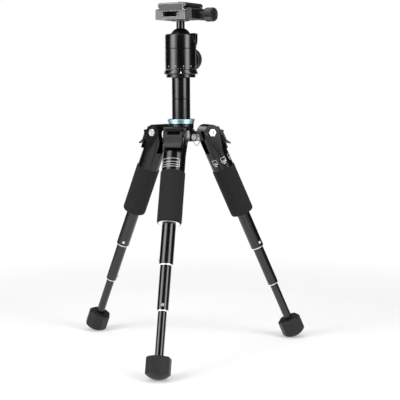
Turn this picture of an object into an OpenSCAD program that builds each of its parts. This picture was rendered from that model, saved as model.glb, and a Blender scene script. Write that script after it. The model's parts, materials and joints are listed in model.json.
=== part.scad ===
// Mini tripod with a ball head and a quick-release clamp.
// Millimetres, +Z up. The origin is on the floor, at the middle of the footprint's box.
// Each leg is drawn in a frame at its pivot: X outward, Z down the leg.

/* [Stance] */
// Angle of each leg from the vertical
leg_spread = 24.4; // [18:0.2:32]
// Distance of the leg pivots from the column axis
pivot_r = 34.4; // [32:0.2:44]
// Leg angles of the three stops of the hub sectors
stop_angles = [24.4, 50, 80];

/* [Hub] */
// Radius of the arm ends about the pivots, half the height of the hub
arm_end_r = 9.7; // [8.5:0.1:11]
// Width of each arm
arm_w = 15.4; // [12:0.1:17]
// Outer radius of the hub barrel
barrel_r = 14.4; // [13.4:0.1:16]
// Radius of the barrel's foot, where it has flared out
flare_r = 18.4; // [15:0.1:18.6]
// Height of the arms above the pivots, between the barrel and their round ends
arm_rise = 1.6; // [1:0.1:4]
// Outer radius of the neck that the lock collar turns on
neck_r = 13; // [12.6:0.1:13.4]
// Depth of the sector notches
notch_d = 1.4; // [0.8:0.1:2]
// Width of the sector notches
notch_w = 2.6; // [1.5:0.1:3.5]

/* [Pivot bolts] */
// Radius of the bolt shank
bolt_r = 3; // [2:0.1:4]
// Width of the hexagon across its flats
bolt_af = 8.4; // [7:0.1:11]
// Height of the bolt head and of the nut
bolt_head_h = 2.2; // [1.5:0.1:3]
// Radius of the drive socket in the bolt head
bolt_socket_r = 2.2; // [1.5:0.1:2.6]
// Depth of the drive socket
bolt_socket_d = 1.4; // [0.8:0.1:1.8]

/* [Leg casting] */
// Wall of the casting sleeve, round the top tube
casting_wall = 0.98; // [0.7:0.02:1.6]
// Distance down the leg to the end of the fork slot
slot_floor = 23; // [21:0.5:25]
// Distance down the leg to the start of the round sleeve
sleeve_start = 25.5; // [24.5:0.5:28]
// Distance down the leg to the top end of the top tube
top_tube_start = 30; // [29:0.5:34]
// Distance down the leg to the end of the casting, where the foam begins
casting_len = 47.7; // [44:0.1:56]
// Half the width of the pad that carries the latch
pad_half_w = 11; // [9:0.1:11.5]
// Depth of the pad face below the sleeve's outer surface
pad_drop = 1.1; // [0.9:0.1:1.5]
// Thickness of the pad
pad_t = 2; // [1.4:0.1:2.1]
// Distance from the pivot, up the leg, to the top edge of the pad
pad_up = 2.4; // [1:0.1:4]

/* [Latch] */
// Width of the latch plate
latch_w = 20.6; // [16:0.1:20.8]
// Gap between the latch plate and the pad
latch_gap = 0.5; // [0.3:0.1:1]
// Thickness of the latch plate
latch_t = 2.1; // [1.6:0.1:2.2]
// Distance down the leg from the pivot to the latch pin
latch_pin_down = 4.2; // [3.6:0.1:5]
// Length of the latch plate below its pin
latch_len = 12.4; // [9:0.1:13]
// Radius of the pins that the latch turns on
latch_pin_r = 0.9; // [0.6:0.05:1]
// Distance that the lip flares out from the latch plate
lip_flare = 3.6; // [2:0.1:6]
// Distance down the leg from the pivot to the lip's edge
lip_down = 23.4; // [21:0.1:24]
// Thickness of the lip
lip_t = 1.8; // [1:0.1:2]
// Width of the slot above the latch plate, between its arms
slot_w = 15.4; // [8:0.1:16]
// Distance down the leg from the pivot to the top of that slot
slot_top = 1.4; // [0.5:0.1:2]
// Distance from the latch pin down to the lower edge of the slot
slot_drop = 2.4; // [1.5:0.1:3]
// Width of the pawl behind the latch
pawl_w = 8; // [5:0.1:10]

/* [Foam grip] */
// Thickness of the foam, round the top tube
foam_wall = 2; // [1.8:0.1:4.5]
// Length of the foam grip
foam_len = 62.2; // [62:0.1:80]
// Length of the rounded lower end of the foam
foam_round = 3.5; // [1:0.1:6]

/* [Leg tubes] */
// Outer diameter of the top tube, inside the foam
top_tube_d = 25; // [24:0.1:25.6]
// Wall of the top tube
top_tube_wall = 1.2; // [0.8:0.1:1.6]
// Outer diameter of the upper tube
upper_d = 16; // [15:0.1:18]
// Wall of the upper and the middle tube
tube_wall = 1.45; // [1.3:0.05:1.6]
// Wall of the lower tube
lower_wall = 1.2; // [0.8:0.05:1.4]
// Length of the upper tube that shows
upper_shown = 49.6; // [48:0.1:70]
// Length of the middle tube that shows
middle_shown = 52.6; // [52:0.1:75]
// Length of the lower tube that shows above the foot
lower_shown = 50.6; // [50:0.1:75]
// Length of each tube that stays inside the next one
tube_held = 12.9; // [10:0.1:14]
// Radius of the push buttons
button_r = 1.75; // [1.2:0.05:2]
// Distance of the button from the end of its tube
button_up = 6.6; // [5:0.1:8]
// Height of the button above the tube
button_h = 1.2; // [0.8:0.1:1.6]
// Travel of the button
button_travel = 0.8; // [0.4:0.05:0.85]
// Turn of the upper button about each leg, from outward
button_turns = [-80, -74, 131];
// Turn from the upper button to the middle one
button_step = 88; // [60:1:120]
// Thickness of the spring clips
clip_t = 0.5; // [0.3:0.05:0.6]
// Width of the spring clips
clip_w = 3.6; // [2.5:0.1:3.8]
// Length of the spring clips
clip_len = 15; // [12:0.5:18]

/* [Foot] */
// Width of the octagonal foot across its corners
foot_w = 29; // [24:0.2:32]
// Radius of the rounded sole
sole_r = 20; // [18:0.5:24]
// Distance from the top of the foot to the centre of the sole
sole_centre = 5.3; // [4:0.1:7]
// Depth of the tube in the foot
foot_bore = 13; // [8:0.5:18]
// Chamfer at the top of the foot
foot_chamfer = 1.6; // [0.5:0.1:2.5]

/* [Column] */
// Outer diameter of the column
column_d = 22; // [20:0.1:23]
// Wall of the column
column_wall = 1.5; // [1:0.1:2.5]
// Length of the column that shows when it is fully raised
column_shown = 49.6; // [40:0.1:120]
// Length of the column inside the hub
column_held = 24.6; // [20:0.1:26]
// Distance from the column's top to the groove round it
groove_down = 25.6; // [10:0.1:30]
// Width and depth of that groove
groove_w = 0.5; // [0.3:0.05:0.8]

/* [Lock collar] */
// Outer radius of the column lock collar
collar_r = 15; // [14.6:0.1:16]
// Height of the collar's lower edge above the pivots
collar_up = 5.8; // [5:0.1:6.5]
// Height of the collar
collar_h = 10.9; // [10.5:0.1:14]
// Thickness of the collar's top
collar_top_t = 1.8; // [1.2:0.1:2.4]
// Outer radius of the coloured ring
ring_r = 16.5; // [15.8:0.1:17]
// Height of the coloured ring
ring_h = 5.1; // [3:0.1:6]
// Height of the lip round the top of the ring
ring_lip_h = 2.3; // [1:0.1:2.6]
// Wall of the coloured ring below its lip
ring_wall = 1.1; // [0.8:0.1:1.3]

/* [Strap ring] */
// Distance of the ring's eye from the column axis
eye_out = 24; // [22:0.1:27]
// Radius of the eye's disc
eye_r = 3.6; // [3:0.1:4.5]
// Thickness of the eye's disc
eye_t = 2.4; // [1.6:0.1:3]
// Distance of the eye's hole below the pivots
eye_down = 4.6; // [3:0.1:6]
// Radius of the strap ring, to the middle of its wire
strap_r = 4.8; // [4:0.1:6]
// Radius of the strap ring's wire
strap_wire_r = 0.65; // [0.5:0.05:0.8]

/* [Pan base] */
// Radius of the plate on top of the column
pan_plate_r = 17.5; // [15:0.1:18.5]
// Height of that plate
pan_plate_h = 3.9; // [2:0.1:6]
// Radius of the fixed ring at its top
pan_ring_r = 19; // [18:0.1:19.5]
// Radius of the fixed ring at its widest
pan_flare_r = 20.25; // [19.6:0.05:20.5]
// Height of the fixed ring
pan_ring_h = 5.2; // [4:0.1:8]
// Radius of the spindle that the head pans on
spindle_r = 6; // [4:0.1:8]
// Height of the spindle
spindle_h = 6.8; // [5:0.1:7.4]
// Length of the plug in the column
plug_len = 12; // [8:0.5:18]

/* [Ball head] */
// Radius of the ball
ball_r = 13; // [12.4:0.1:13]
// Outer radius of the head body
head_r = 18.75; // [18.6:0.05:19]
// Height of the head body
head_h = 41.9; // [41:0.1:48]
// Distance from the top of the head body to the centre of the ball
ball_down = 5.3; // [5:0.1:6]
// Round edge at the top of the head body
head_edge = 1.8; // [0.5:0.1:2.5]
// Height of the groove line above the bottom of the head body
head_groove_up = 25.1; // [20:0.1:26]
// Radius of the ball's stem
stem_r = 5; // [4:0.1:5]
// Height from the ball's centre to the bottom of the clamp
clamp_up = 20.6; // [20.4:0.1:24]
// Thickness of the seat under the ball
seat_t = 2.5; // [1.5:0.1:2.6]
// Angle that the seat reaches from straight down
seat_reach = 55; // [40:1:55]
// Half the width of the drop slot's liner
liner_r = 8; // [7:0.1:8.4]
// Height of the liner above the ball's centre
liner_up = 6.1; // [5:0.1:7]
// Distance of the liner's outer face from the head's axis
liner_out = 19.3; // [19:0.1:20]

/* [Lock knob] */
// Direction of the lock knob about the column
lock_turn = 79; // [70:1:110]
// Radius of the lock knob
lock_r = 14; // [8:0.1:14]
// Thickness of the lock knob
lock_t = 12; // [6:0.1:14]
// Distance of the knob's inner face from the head's axis
lock_out = 24; // [22:0.1:27]
// Height of its axis above the bottom of the head body
lock_up = 12.4; // [11.8:0.1:13]
// Radius of the lock screw
lock_screw_r = 3.5; // [2.5:0.1:4]
// Radius of the neck of the lock knob
lock_neck_r = 6.5; // [5:0.1:9]

/* [Clamp] */
// Direction of the clamp's knob about the column
clamp_turn = -21; // [-60:1:60]
// Distance of the fixed jaw's outer face from the stem axis
clamp_back = 23.3; // [22:0.1:26]
// Distance of the clamp body's open side from the stem axis
clamp_front = 18.2; // [17:0.1:18.4]
// Length of the clamp
clamp_len = 38; // [30:0.5:44]
// Height of the boss round the stem
clamp_boss_h = 1.5; // [0.5:0.1:3]
// Radius of that boss
clamp_boss_r = 10.5; // [8:0.1:14]
// Height of the clamp body up to the plate
clamp_h = 9.1; // [9:0.1:12]
// Depth of the channel under the plate
channel_d = 5.9; // [5.6:0.1:6]
// Distance of the channel's wall from the stem, on the fixed jaw's side
channel_back = 12.5; // [9.5:0.1:13]
// Distance of the channel's wall from the stem, on the moving jaw's side
channel_front = 9.5; // [9.3:0.1:10]
// Height of the jaws above the clamp body
jaw_rise = 3.5; // [2.5:0.1:3.8]
// Height of the upright part of the dovetail
dovetail_foot = 1.3; // [0.8:0.1:2]
// Thickness of the moving jaw
jaw_t = 7.7; // [5:0.1:9]
// Gap between the clamp body and the moving jaw
jaw_gap = 0.9; // [0.5:0.1:1.2]
// Radius of the jaw's guide pins
guide_r = 1.5; // [1:0.1:1.8]
// Distance between the guide pins
guide_span = 27; // [20:0.5:28]
// Length of the guide pins in the clamp body
guide_len = 6.5; // [4:0.1:7]
// Radius of the jaw's neck
jaw_neck_r = 4.6; // [3.5:0.1:5]
// Length of the jaw's neck
jaw_neck_len = 7.6; // [4:0.1:10]
// Radius of the clamp screw
clamp_screw_r = 2.5; // [1.5:0.1:3]
// Length of the clamp screw in the clamp body
clamp_screw_in = 7; // [4:0.1:7.2]
// Height of the clamp screw's axis above the clamp's bottom
clamp_axis_up = 6.4; // [6:0.1:7]
// Radius of the clamp knob
clamp_knob_r = 8.5; // [6:0.1:8.5]
// Length of the clamp knob
clamp_knob_len = 12.9; // [8:0.1:18]

/* [Quick-release plate] */
// Width of the plate across the jaws
plate_w = 38; // [37:0.1:39]
// Length of the plate along the jaws
plate_len = 44; // [36:0.5:60]
// Height of the plate's dovetail
dovetail_h = 5.9; // [5.2:0.1:7]
// Depth of the dovetail's groove in each side
dovetail_in = 2.7; // [2:0.1:3]
// Thickness of the plate's top
plate_t = 3.3; // [2.5:0.1:5]
// Thickness of the pad on the plate
pad_sheet_t = 1; // [0.6:0.1:2]
// Border of bare metal round the pad
pad_border = 1.8; // [1:0.1:4]
// Depth of the recess for the screw's head
recess_d = 2.6; // [1.5:0.1:4]

/* [Camera screw] */
// Radius of the camera screw's thread, a quarter of an inch across
thread_r = 3.175; // [3.175:0.001:4.763]
// Length of thread above the pad
thread_len = 2.05; // [1.5:0.05:6]
// Radius of the plain shank
shank_r = 2.45; // [2:0.05:2.6]
// Radius of the screw's head
screw_head_r = 6.9; // [5:0.1:7]
// Height of the screw's head
screw_head_h = 3.2; // [2:0.1:3.3]
// Gap from the screw's head up to the plate
screw_head_drop = 1.1; // [0.5:0.1:1.2]
// Radius of the wire of the screw's bail
bail_wire_r = 0.7; // [0.5:0.05:0.8]

/* [Hidden] */
LEGS = ["front", "right", "left"];
azimuths = [-90, 30, 150];
LEG_PARTS = [
    "leg_casting", "leg_latch", "top_tube", "foam_grip", "grip_collar",
    "upper_tube", "upper_button", "upper_clip",
    "middle_tube", "middle_button", "middle_clip",
    "lower_tube", "foot"
];

// Radial clearance of a running fit
running = 0.05;
// Clearance between pieces that are fixed together
seated = 0.02;
// Gap between pieces that move past each other
move_gap = 0.3;
// Gap under the heads of the pivot bolts
washer_gap = 0.15;
// Length by which a cut runs past a face
overrun = 1;
// Small chamfer on turned edges
edge = 0.5;
$fn = 64;

// Stations down the leg
foam_end = casting_len + foam_len;
upper_end = foam_end + upper_shown;
middle_end = upper_end + middle_shown;
foot_top = middle_end + lower_shown;
upper_start = foam_end - tube_held;
middle_start = upper_end - tube_held;
lower_start = middle_end - tube_held;
sole_s = foot_top + sole_centre;
foot_tip = sole_s + sole_r;
middle_d = upper_d - 2 * tube_wall - 2 * running;
lower_d = middle_d - 2 * tube_wall - 2 * running;
flange_h = 3.4;
collar_flange_h = 1.2;
collar_start = upper_start + flange_h + move_gap;
foam_d = top_tube_d + 2 * foam_wall;
casting_r = top_tube_d / 2 + seated + casting_wall;
pad_out = casting_r - pad_drop;
latch_out = pad_out + latch_gap + latch_t;
lip_out = latch_out + lip_flare;
fork_half = arm_w / 2 + move_gap;
bolt_half = casting_r + washer_gap;

// Heights
pivot_z = sole_s * cos(leg_spread) + sole_r;
collar_z = pivot_z + collar_up;
column_foot = collar_z + collar_h - column_held;
column_top = collar_z + collar_h + column_shown;
pan_z = column_top + pan_plate_h;
pan_gap = 0.4;
head_z = pan_z + pan_ring_h + pan_gap;
head_top = head_z + head_h;
ball_z = head_top - ball_down;
clamp_z = ball_z + clamp_up;
plate_z = clamp_z + clamp_boss_h + clamp_h;
jaw_top = plate_z + jaw_rise;
plate_low = plate_z + running;
slab_z = plate_z + dovetail_h;
pad_z = slab_z + plate_t;
pad_top = pad_z + pad_sheet_t;
clamp_axis_z = clamp_z + clamp_axis_up;
jaw_face = clamp_front + jaw_gap;
jaw_outer = jaw_face + jaw_t;
screw_head_z = plate_z - screw_head_drop - screw_head_h;

// The footprint's box is centred on the origin, so the column stands behind it.
foot_r = foot_w / 2;
foot_sides = 8;
foot_back_share = 0.95;
sole_edge = sole_s + sqrt(pow(sole_r, 2) - pow(foot_r, 2));
foot_reach = pivot_r + sole_edge * sin(leg_spread);
front_reach = foot_reach + foot_r * cos(leg_spread);
back_reach = foot_reach / 2 + foot_r * foot_back_share;
column_y = (front_reach - back_reach) / 2;

module on_column(z) {
    translate([0, column_y, z]) children();
}

// X outward, Y round the column, Z up, at the pivot of leg i
module at_pivot(i) {
    on_column(pivot_z) rotate([0, 0, azimuths[i]]) translate([pivot_r, 0, 0]) children();
}

// X outward, Z down the leg, at the pivot of leg i
module down_leg(i) {
    at_pivot(i) rotate([180, -leg_spread, 0]) children();
}

// A bar along Y, centred on it
module bar_y(r, len, fn = 64) {
    rotate([90, 0, 0]) cylinder(r = r, h = len, center = true, $fn = fn);
}

// A bar along X, from x0 on
module bar_x(r, x0, len) {
    translate([x0, 0, 0]) rotate([0, 90, 0]) cylinder(r = r, h = len);
}

// A block from one corner to the opposite one
module block(low, high) {
    translate(low) cube(high - low);
}

// A profile of [x, z] points, drawn out along Y about the middle
module profile_y(points, w) {
    rotate([90, 0, 0]) translate([0, 0, -w / 2]) linear_extrude(w) polygon(points);
}

// A tube from z0 to z1 with bevelled ends
module tube(r_out, r_in, z0, z1) {
    bevel = min(edge, (r_out - r_in) / 3);
    rotate_extrude() polygon([
        [r_in, z0], [r_out - bevel, z0], [r_out, z0 + bevel],
        [r_out, z1 - bevel], [r_out - bevel, z1], [r_in, z1]
    ]);
}

// Points of an arc about [x, z]
function arc(x, z, r, a0, a1, n = 12) =
    [for (k = [0 : n]) let (a = a0 + (a1 - a0) * k / n) [x + r * cos(a), z + r * sin(a)]];

module hub_arm() {
    block([0, -arm_w / 2, -arm_end_r], [pivot_r, arm_w / 2, arm_rise]);
    translate([pivot_r, 0, 0]) bar_y(arm_end_r, arm_w);
}

pawl_at = 42;
module sector_notches() {
    for (a = stop_angles)
        translate([pivot_r, 0, 0]) rotate([0, pawl_at - a, 0])
            block([arm_end_r - notch_d, -pawl_w / 2, -notch_w / 2],
                  [arm_end_r + overrun, pawl_w / 2, notch_w / 2]);
}

eye_turn = -30;
eye_stem_r = 1.8;
eye_stem_in = 4;
eye_boss_r = 4;
eye_boss_out = 19.5;
eye_hole_r = 1.15;

module hub() {
    color("#141416") on_column(pivot_z) difference() {
        union() {
            translate([0, 0, -arm_end_r]) cylinder(r = flare_r, h = arm_end_r);
            cylinder(r1 = flare_r, r2 = barrel_r, h = collar_up - running);
            cylinder(r = neck_r, h = collar_up + collar_h - collar_top_t - move_gap);
            for (a = azimuths) rotate([0, 0, a]) hub_arm();
            rotate([0, 0, eye_turn]) translate([0, 0, -eye_down]) bar_x(eye_boss_r, 0, eye_boss_out);
        }
        translate([0, 0, -arm_end_r - overrun])
            cylinder(r = column_d / 2 + running, h = arm_end_r + collar_up + collar_h + 2 * overrun);
        difference() {
            translate([0, 0, collar_up]) cylinder(r = collar_r + move_gap, h = arm_end_r);
            cylinder(r = neck_r, h = collar_up + collar_h);
        }
        for (a = azimuths) rotate([0, 0, a]) {
            translate([pivot_r, 0, 0]) bar_y(bolt_r + seated, arm_w + 2 * overrun);
            sector_notches();
        }
        rotate([0, 0, eye_turn]) translate([0, 0, -eye_down])
            bar_x(eye_stem_r + seated, eye_boss_out - eye_stem_in, eye_stem_in + overrun);
    }
}

module pivot_bolts() {
    color("silver") for (i = [0 : 2]) at_pivot(i) rotate([90, 0, 0]) difference() {
        union() {
            translate([0, 0, -bolt_half - bolt_head_h])
                cylinder(r = bolt_r, h = 2 * bolt_half + bolt_head_h);
            translate([0, 0, bolt_half])
                cylinder(r = bolt_af / 2 / cos(30), h = bolt_head_h, $fn = 6);
        }
        translate([0, 0, bolt_half + bolt_head_h - bolt_socket_d])
            cylinder(r = bolt_socket_r, h = bolt_socket_d + overrun, $fn = 6);
    }
}

module pivot_nuts() {
    color("silver") for (i = [0 : 2]) at_pivot(i) rotate([-90, 0, 0]) translate([0, 0, bolt_half])
        difference() {
            cylinder(r = bolt_af / 2 / cos(30), h = bolt_head_h, $fn = 6);
            translate([0, 0, -overrun]) cylinder(r = bolt_r + seated, h = bolt_head_h + 2 * overrun);
        }
}

module at_eye() {
    on_column(pivot_z - eye_down) rotate([0, 0, eye_turn]) children();
}

module ring_eye() {
    color("silver") at_eye() difference() {
        union() {
            bar_x(eye_stem_r, eye_boss_out - eye_stem_in, eye_out - eye_boss_out + eye_stem_in);
            bar_x(eye_boss_r, eye_boss_out, edge);
            translate([eye_out, 0, 0]) bar_y(eye_r, eye_t);
        }
        translate([eye_out, 0, 0]) bar_y(eye_hole_r, eye_t + 2 * overrun);
    }
}

module strap_ring() {
    color("silver") at_eye() translate([eye_out, 0, -strap_r]) rotate([0, 90, 0])
        rotate_extrude() translate([strap_r, 0]) circle(r = strap_wire_r, $fn = 24);
}

ring_seat_r = ring_r - ring_wall - (ring_r - collar_r) / 2;
module lock_collar() {
    color("#101012") on_column(collar_z) difference() {
        union() {
            tube(collar_r, neck_r + running, 0, collar_h - ring_h);
            cylinder(r = ring_seat_r, h = collar_h);
        }
        translate([0, 0, -overrun]) cylinder(r = neck_r + running, h = collar_h - collar_top_t + overrun);
        cylinder(r = column_d / 2 + move_gap, h = collar_h + overrun);
    }
}

module accent_ring() {
    body_r = ring_seat_r + ring_wall;
    color("#2f8f9a") on_column(collar_z + collar_h - ring_h) rotate_extrude() polygon([
        [ring_seat_r + seated, 0], [body_r, 0], [body_r, ring_h - ring_lip_h],
        [ring_r, ring_h - ring_lip_h + edge], [ring_r, ring_h - edge],
        [ring_r - edge, ring_h], [ring_seat_r + seated, ring_h]
    ]);
}

module column_tube() {
    r = column_d / 2;
    color("#17171a") on_column(0) difference() {
        tube(r, r - column_wall, column_foot, column_top - seated);
        translate([0, 0, column_top - groove_down]) difference() {
            cylinder(r = r + overrun, h = groove_w);
            cylinder(r = r - groove_w, h = groove_w);
        }
    }
}

module pan_base() {
    plug_r = column_d / 2 - column_wall - seated;
    color("#121214") on_column(0) rotate_extrude() polygon([
        [0, column_top - plug_len], [plug_r, column_top - plug_len], [plug_r, column_top],
        [pan_plate_r, column_top], [pan_plate_r, pan_z], [pan_flare_r - edge, pan_z],
        [pan_flare_r, pan_z + edge], [pan_flare_r, pan_z + pan_ring_h / 3],
        [pan_ring_r, pan_z + pan_ring_h], [spindle_r, pan_z + pan_ring_h],
        [spindle_r, pan_z + pan_ring_h + spindle_h], [0, pan_z + pan_ring_h + spindle_h]
    ]);
}

// The ball's cavity is round, and wide enough for the seat to roll in.
pocket_r = ball_r + 2 * running;
seat_r = ball_r + running + seat_t;
cavity_r = seat_r + move_gap;
cavity_d = cavity_r + edge;
module head_body() {
    top = head_h;
    ball = head_h - ball_down;
    rim = acos(ball_down / pocket_r);
    color("#141416") on_column(head_z) difference() {
        rotate_extrude() polygon(concat(
            [[0, 0], [head_r, 0], [head_r, head_groove_up - groove_w], [head_r - groove_w, head_groove_up - groove_w],
             [head_r - groove_w, head_groove_up], [head_r, head_groove_up]],
            arc(head_r - head_edge, top - head_edge, head_edge, 0, 90),
            [[pocket_r * sin(rim), top]],
            arc(0, ball, pocket_r, 90 - rim, 0),
            [[cavity_r, ball], [cavity_r, ball - cavity_d], [0, ball - cavity_d]]
        ));
        translate([0, 0, -overrun])
            cylinder(r = spindle_r + running, h = spindle_h + overrun - pan_gap + move_gap);
        translate([0, 0, lock_up]) rotate([0, 0, lock_turn])
            bar_x(lock_screw_r + running, lock_screw_r, head_r + overrun);
        translate([0, 0, ball]) {
            bar_x(liner_r + seated, 0, head_r + overrun);
            block([0, -liner_r - seated, 0], [head_r + overrun, liner_r + seated, ball_down + overrun]);
        }
    }
}

module slot_liner() {
    inner = stem_r + move_gap + edge / 3;
    start = ball_r + move_gap + edge / 2;
    color("#0c0c0d") on_column(ball_z) difference() {
        union() {
            bar_x(liner_r, start, liner_out - start);
            block([start, -liner_r, 0], [liner_out, liner_r, liner_up]);
        }
        bar_x(inner, 0, liner_out + overrun);
        block([0, -inner, 0], [liner_out + overrun, inner, liner_up + overrun]);
        block([0, -liner_r - overrun, liner_up], [liner_out + overrun, liner_r + overrun, liner_r + overrun]);
    }
}

module lock_knob() {
    rim_r = lock_r - edge;
    color("#161618") on_column(head_z + lock_up) rotate([0, 0, lock_turn]) rotate([0, 90, 0])
        rotate_extrude() polygon([
            [0, lock_screw_r + edge], [lock_screw_r, lock_screw_r + edge], [lock_screw_r, head_r + move_gap],
            [lock_neck_r, head_r + move_gap], [lock_neck_r, lock_out], [rim_r, lock_out],
            [lock_r, lock_out + edge], [lock_r, lock_out + lock_t - 2 * edge],
            [rim_r - edge, lock_out + lock_t], [0, lock_out + lock_t]
        ]);
}

module ball_seat() {
    color("#e6e2d6") on_column(ball_z) rotate_extrude() polygon(concat(
        arc(0, 0, seat_r, -90, -90 + seat_reach),
        arc(0, 0, ball_r + running, -90 + seat_reach, -90)
    ));
}

socket_d = 4;
module ball_stem() {
    color("#0e0e10") on_column(ball_z) {
        sphere(r = ball_r);
        cylinder(r = stem_r, h = clamp_up + socket_d - running);
    }
}

module at_clamp(z) {
    on_column(z) rotate([0, 0, clamp_turn]) children();
}

lip_in = (jaw_rise - dovetail_foot);
dovetail_face = plate_w / 2 + running;
module clamp_body() {
    slab = clamp_z + clamp_boss_h;
    half = clamp_len / 2;
    color("#1a1a1c") at_clamp(0) difference() {
        union() {
            translate([0, 0, clamp_z]) cylinder(r = clamp_boss_r, h = clamp_boss_h + edge);
            block([-clamp_back, -half, slab], [clamp_front, half, plate_z]);
            profile_y([
                [-clamp_back, plate_z - edge], [-dovetail_face, plate_z - edge],
                [-dovetail_face, plate_z + dovetail_foot], [-dovetail_face + lip_in, jaw_top],
                [-clamp_back + 3 * edge, jaw_top], [-clamp_back, jaw_top - 3 * edge]
            ], clamp_len);
        }
        block([-channel_back, -half - overrun, plate_z - channel_d],
              [channel_front, half + overrun, plate_z + overrun]);
        translate([0, 0, clamp_z - overrun]) cylinder(r = stem_r + running, h = socket_d + overrun);
        translate([0, 0, clamp_axis_z])
            bar_x(clamp_screw_r + running, clamp_front - clamp_screw_in - move_gap, clamp_screw_in + overrun);
        for (side = [-1, 1]) translate([0, side * guide_span / 2, clamp_axis_z])
            bar_x(guide_r + running, clamp_front - guide_len - move_gap, guide_len + overrun);
    }
}

module clamp_jaw() {
    low = clamp_z + clamp_boss_h - edge;
    color("#1a1a1c") at_clamp(0) difference() {
        union() {
            profile_y([
                [jaw_face, low], [jaw_outer - 2 * edge, low], [jaw_outer, low + 2 * edge],
                [jaw_outer, jaw_top - 3 * edge], [jaw_outer - 3 * edge, jaw_top],
                [dovetail_face - lip_in, jaw_top], [dovetail_face, plate_z + dovetail_foot],
                [jaw_face, plate_z + dovetail_foot]
            ], clamp_len);
            translate([0, 0, clamp_axis_z]) {
                bar_x(jaw_neck_r, jaw_outer - edge, jaw_neck_len + edge);
                for (side = [-1, 1]) translate([0, side * guide_span / 2, 0])
                    bar_x(guide_r, clamp_front - guide_len, guide_len + jaw_gap + edge);
            }
        }
        translate([0, 0, clamp_axis_z])
            bar_x(clamp_screw_r + running, clamp_front, jaw_t + jaw_neck_len + jaw_gap + 2 * overrun);
    }
}

module clamp_knob() {
    near = jaw_outer + jaw_neck_len + move_gap;
    far = near + clamp_knob_len;
    color("#1c1c1e") at_clamp(clamp_axis_z) rotate([0, 90, 0]) rotate_extrude() polygon([
        [0, clamp_front - clamp_screw_in], [clamp_screw_r, clamp_front - clamp_screw_in],
        [clamp_screw_r, near], [clamp_knob_r - 2 * edge, near], [clamp_knob_r, near + 2 * edge],
        [clamp_knob_r, far - 2 * edge], [clamp_knob_r - 2 * edge, far], [0, far]
    ]);
}

module release_plate() {
    half = plate_w / 2;
    waist = half - dovetail_in;
    foot_h = plate_z + dovetail_foot;
    color("#242427") at_clamp(0) difference() {
        profile_y([
            [-half, plate_low], [half, plate_low], [half, foot_h - running],
            [waist, foot_h + dovetail_in - running], [half, slab_z], [half, pad_z - edge],
            [half - edge, pad_z], [-half + edge, pad_z], [-half, pad_z - edge], [-half, slab_z],
            [-waist, foot_h + dovetail_in - running], [-half, foot_h - running]
        ], plate_len);
        translate([0, 0, plate_low - overrun]) cylinder(r = thread_r + running, h = pad_z);
        translate([0, 0, plate_low - overrun]) cylinder(r = screw_head_r + edge, h = recess_d + overrun);
    }
}

module plate_pad() {
    w = plate_w - 2 * pad_border;
    len = plate_len - 2 * pad_border;
    color("#1d1d1f") at_clamp(pad_z + seated) difference() {
        linear_extrude(pad_sheet_t - seated) square([w, len], center = true);
        translate([0, 0, -overrun]) cylinder(r = shank_r + running, h = pad_sheet_t + 2 * overrun);
    }
}

bail_r = screw_head_r + edge + bail_wire_r;
bail_z = screw_head_z + screw_head_h / 2;
bail_hole_d = 2;
bail_corner_r = 0.9;
coin_slot_w = 1.4;
module camera_screw() {
    tip = pad_top + running + thread_len;
    color("#8c8c90") at_clamp(0) difference() {
        rotate_extrude() polygon([
            [0, screw_head_z], [screw_head_r - edge, screw_head_z], [screw_head_r, screw_head_z + edge],
            [screw_head_r, screw_head_z + screw_head_h], [shank_r, screw_head_z + screw_head_h],
            [shank_r, pad_top + running], [thread_r, pad_top + running],
            [thread_r, tip - edge / 2], [thread_r - edge / 2, tip], [0, tip]
        ]);
        block([-screw_head_r - overrun, -coin_slot_w / 2, screw_head_z - overrun],
              [screw_head_r + overrun, coin_slot_w / 2, screw_head_z + edge]);
        for (side = [-1, 1]) translate([0, side * (screw_head_r - bail_hole_d / 2 + overrun), bail_z])
            bar_y(bail_wire_r + running, bail_hole_d + 2 * overrun);
    }
}

// The bail is half a ring, with round corners and straight ends in the sides of the screw's head.
module screw_bail() {
    pin_in = bail_hole_d - running;
    color("#77777b") at_clamp(bail_z) {
        rotate([0, 0, -90]) rotate_extrude(angle = 180) translate([bail_r, 0]) circle(r = bail_wire_r, $fn = 24);
        for (side = [-1, 1]) {
            translate([0, side * (bail_r + screw_head_r - pin_in) / 2, 0])
                bar_y(bail_wire_r - seated, bail_r - screw_head_r + pin_in, 24);
            translate([0, side * bail_r, -bail_corner_r]) cylinder(r = bail_corner_r, h = 2 * bail_corner_r);
        }
    }
}

// The latch's pin is near the top of its plate.
latch_pin_out = latch_out - latch_t / 2;
lug_w = 1.6;
lug_gap = 0.25;
lug_in = latch_w / 2 + lug_gap;
window_up = 1.4;
window_down = 8.4;
fork_gap = 0.48;
pawl_gap = 1.3;
latch_ribs = 3;

// A hull of the fork ends and the sleeve gives the casting its outer shape.
module casting_shape() {
    hull() {
        bar_y(arm_end_r, 2 * casting_r, 48);
        translate([0, 0, sleeve_start]) cylinder(r = casting_r, h = edge, $fn = 48);
    }
    translate([0, 0, sleeve_start]) cylinder(r = casting_r, h = casting_len - sleeve_start);
}

module latch_bed() {
    block([pad_out - pad_t, -pad_half_w, -pad_up], [pad_out, pad_half_w, sleeve_start + edge]);
    for (side = [-1, 1]) translate([0, side * (lug_in + lug_w / 2), 0]) {
        translate([latch_pin_out, 0, latch_pin_down]) bar_y(latch_out - latch_pin_out + edge, lug_w, 48);
        profile_y([
            [pad_out - pad_t, latch_pin_down - 2 * latch_t], [latch_pin_out, latch_pin_down - latch_t / 2 - edge],
            [latch_out + edge, latch_pin_down], [pad_out, latch_pin_down + 2 * latch_t],
            [pad_out - pad_t, latch_pin_down + 2 * latch_t]
        ], lug_w);
    }
}

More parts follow.
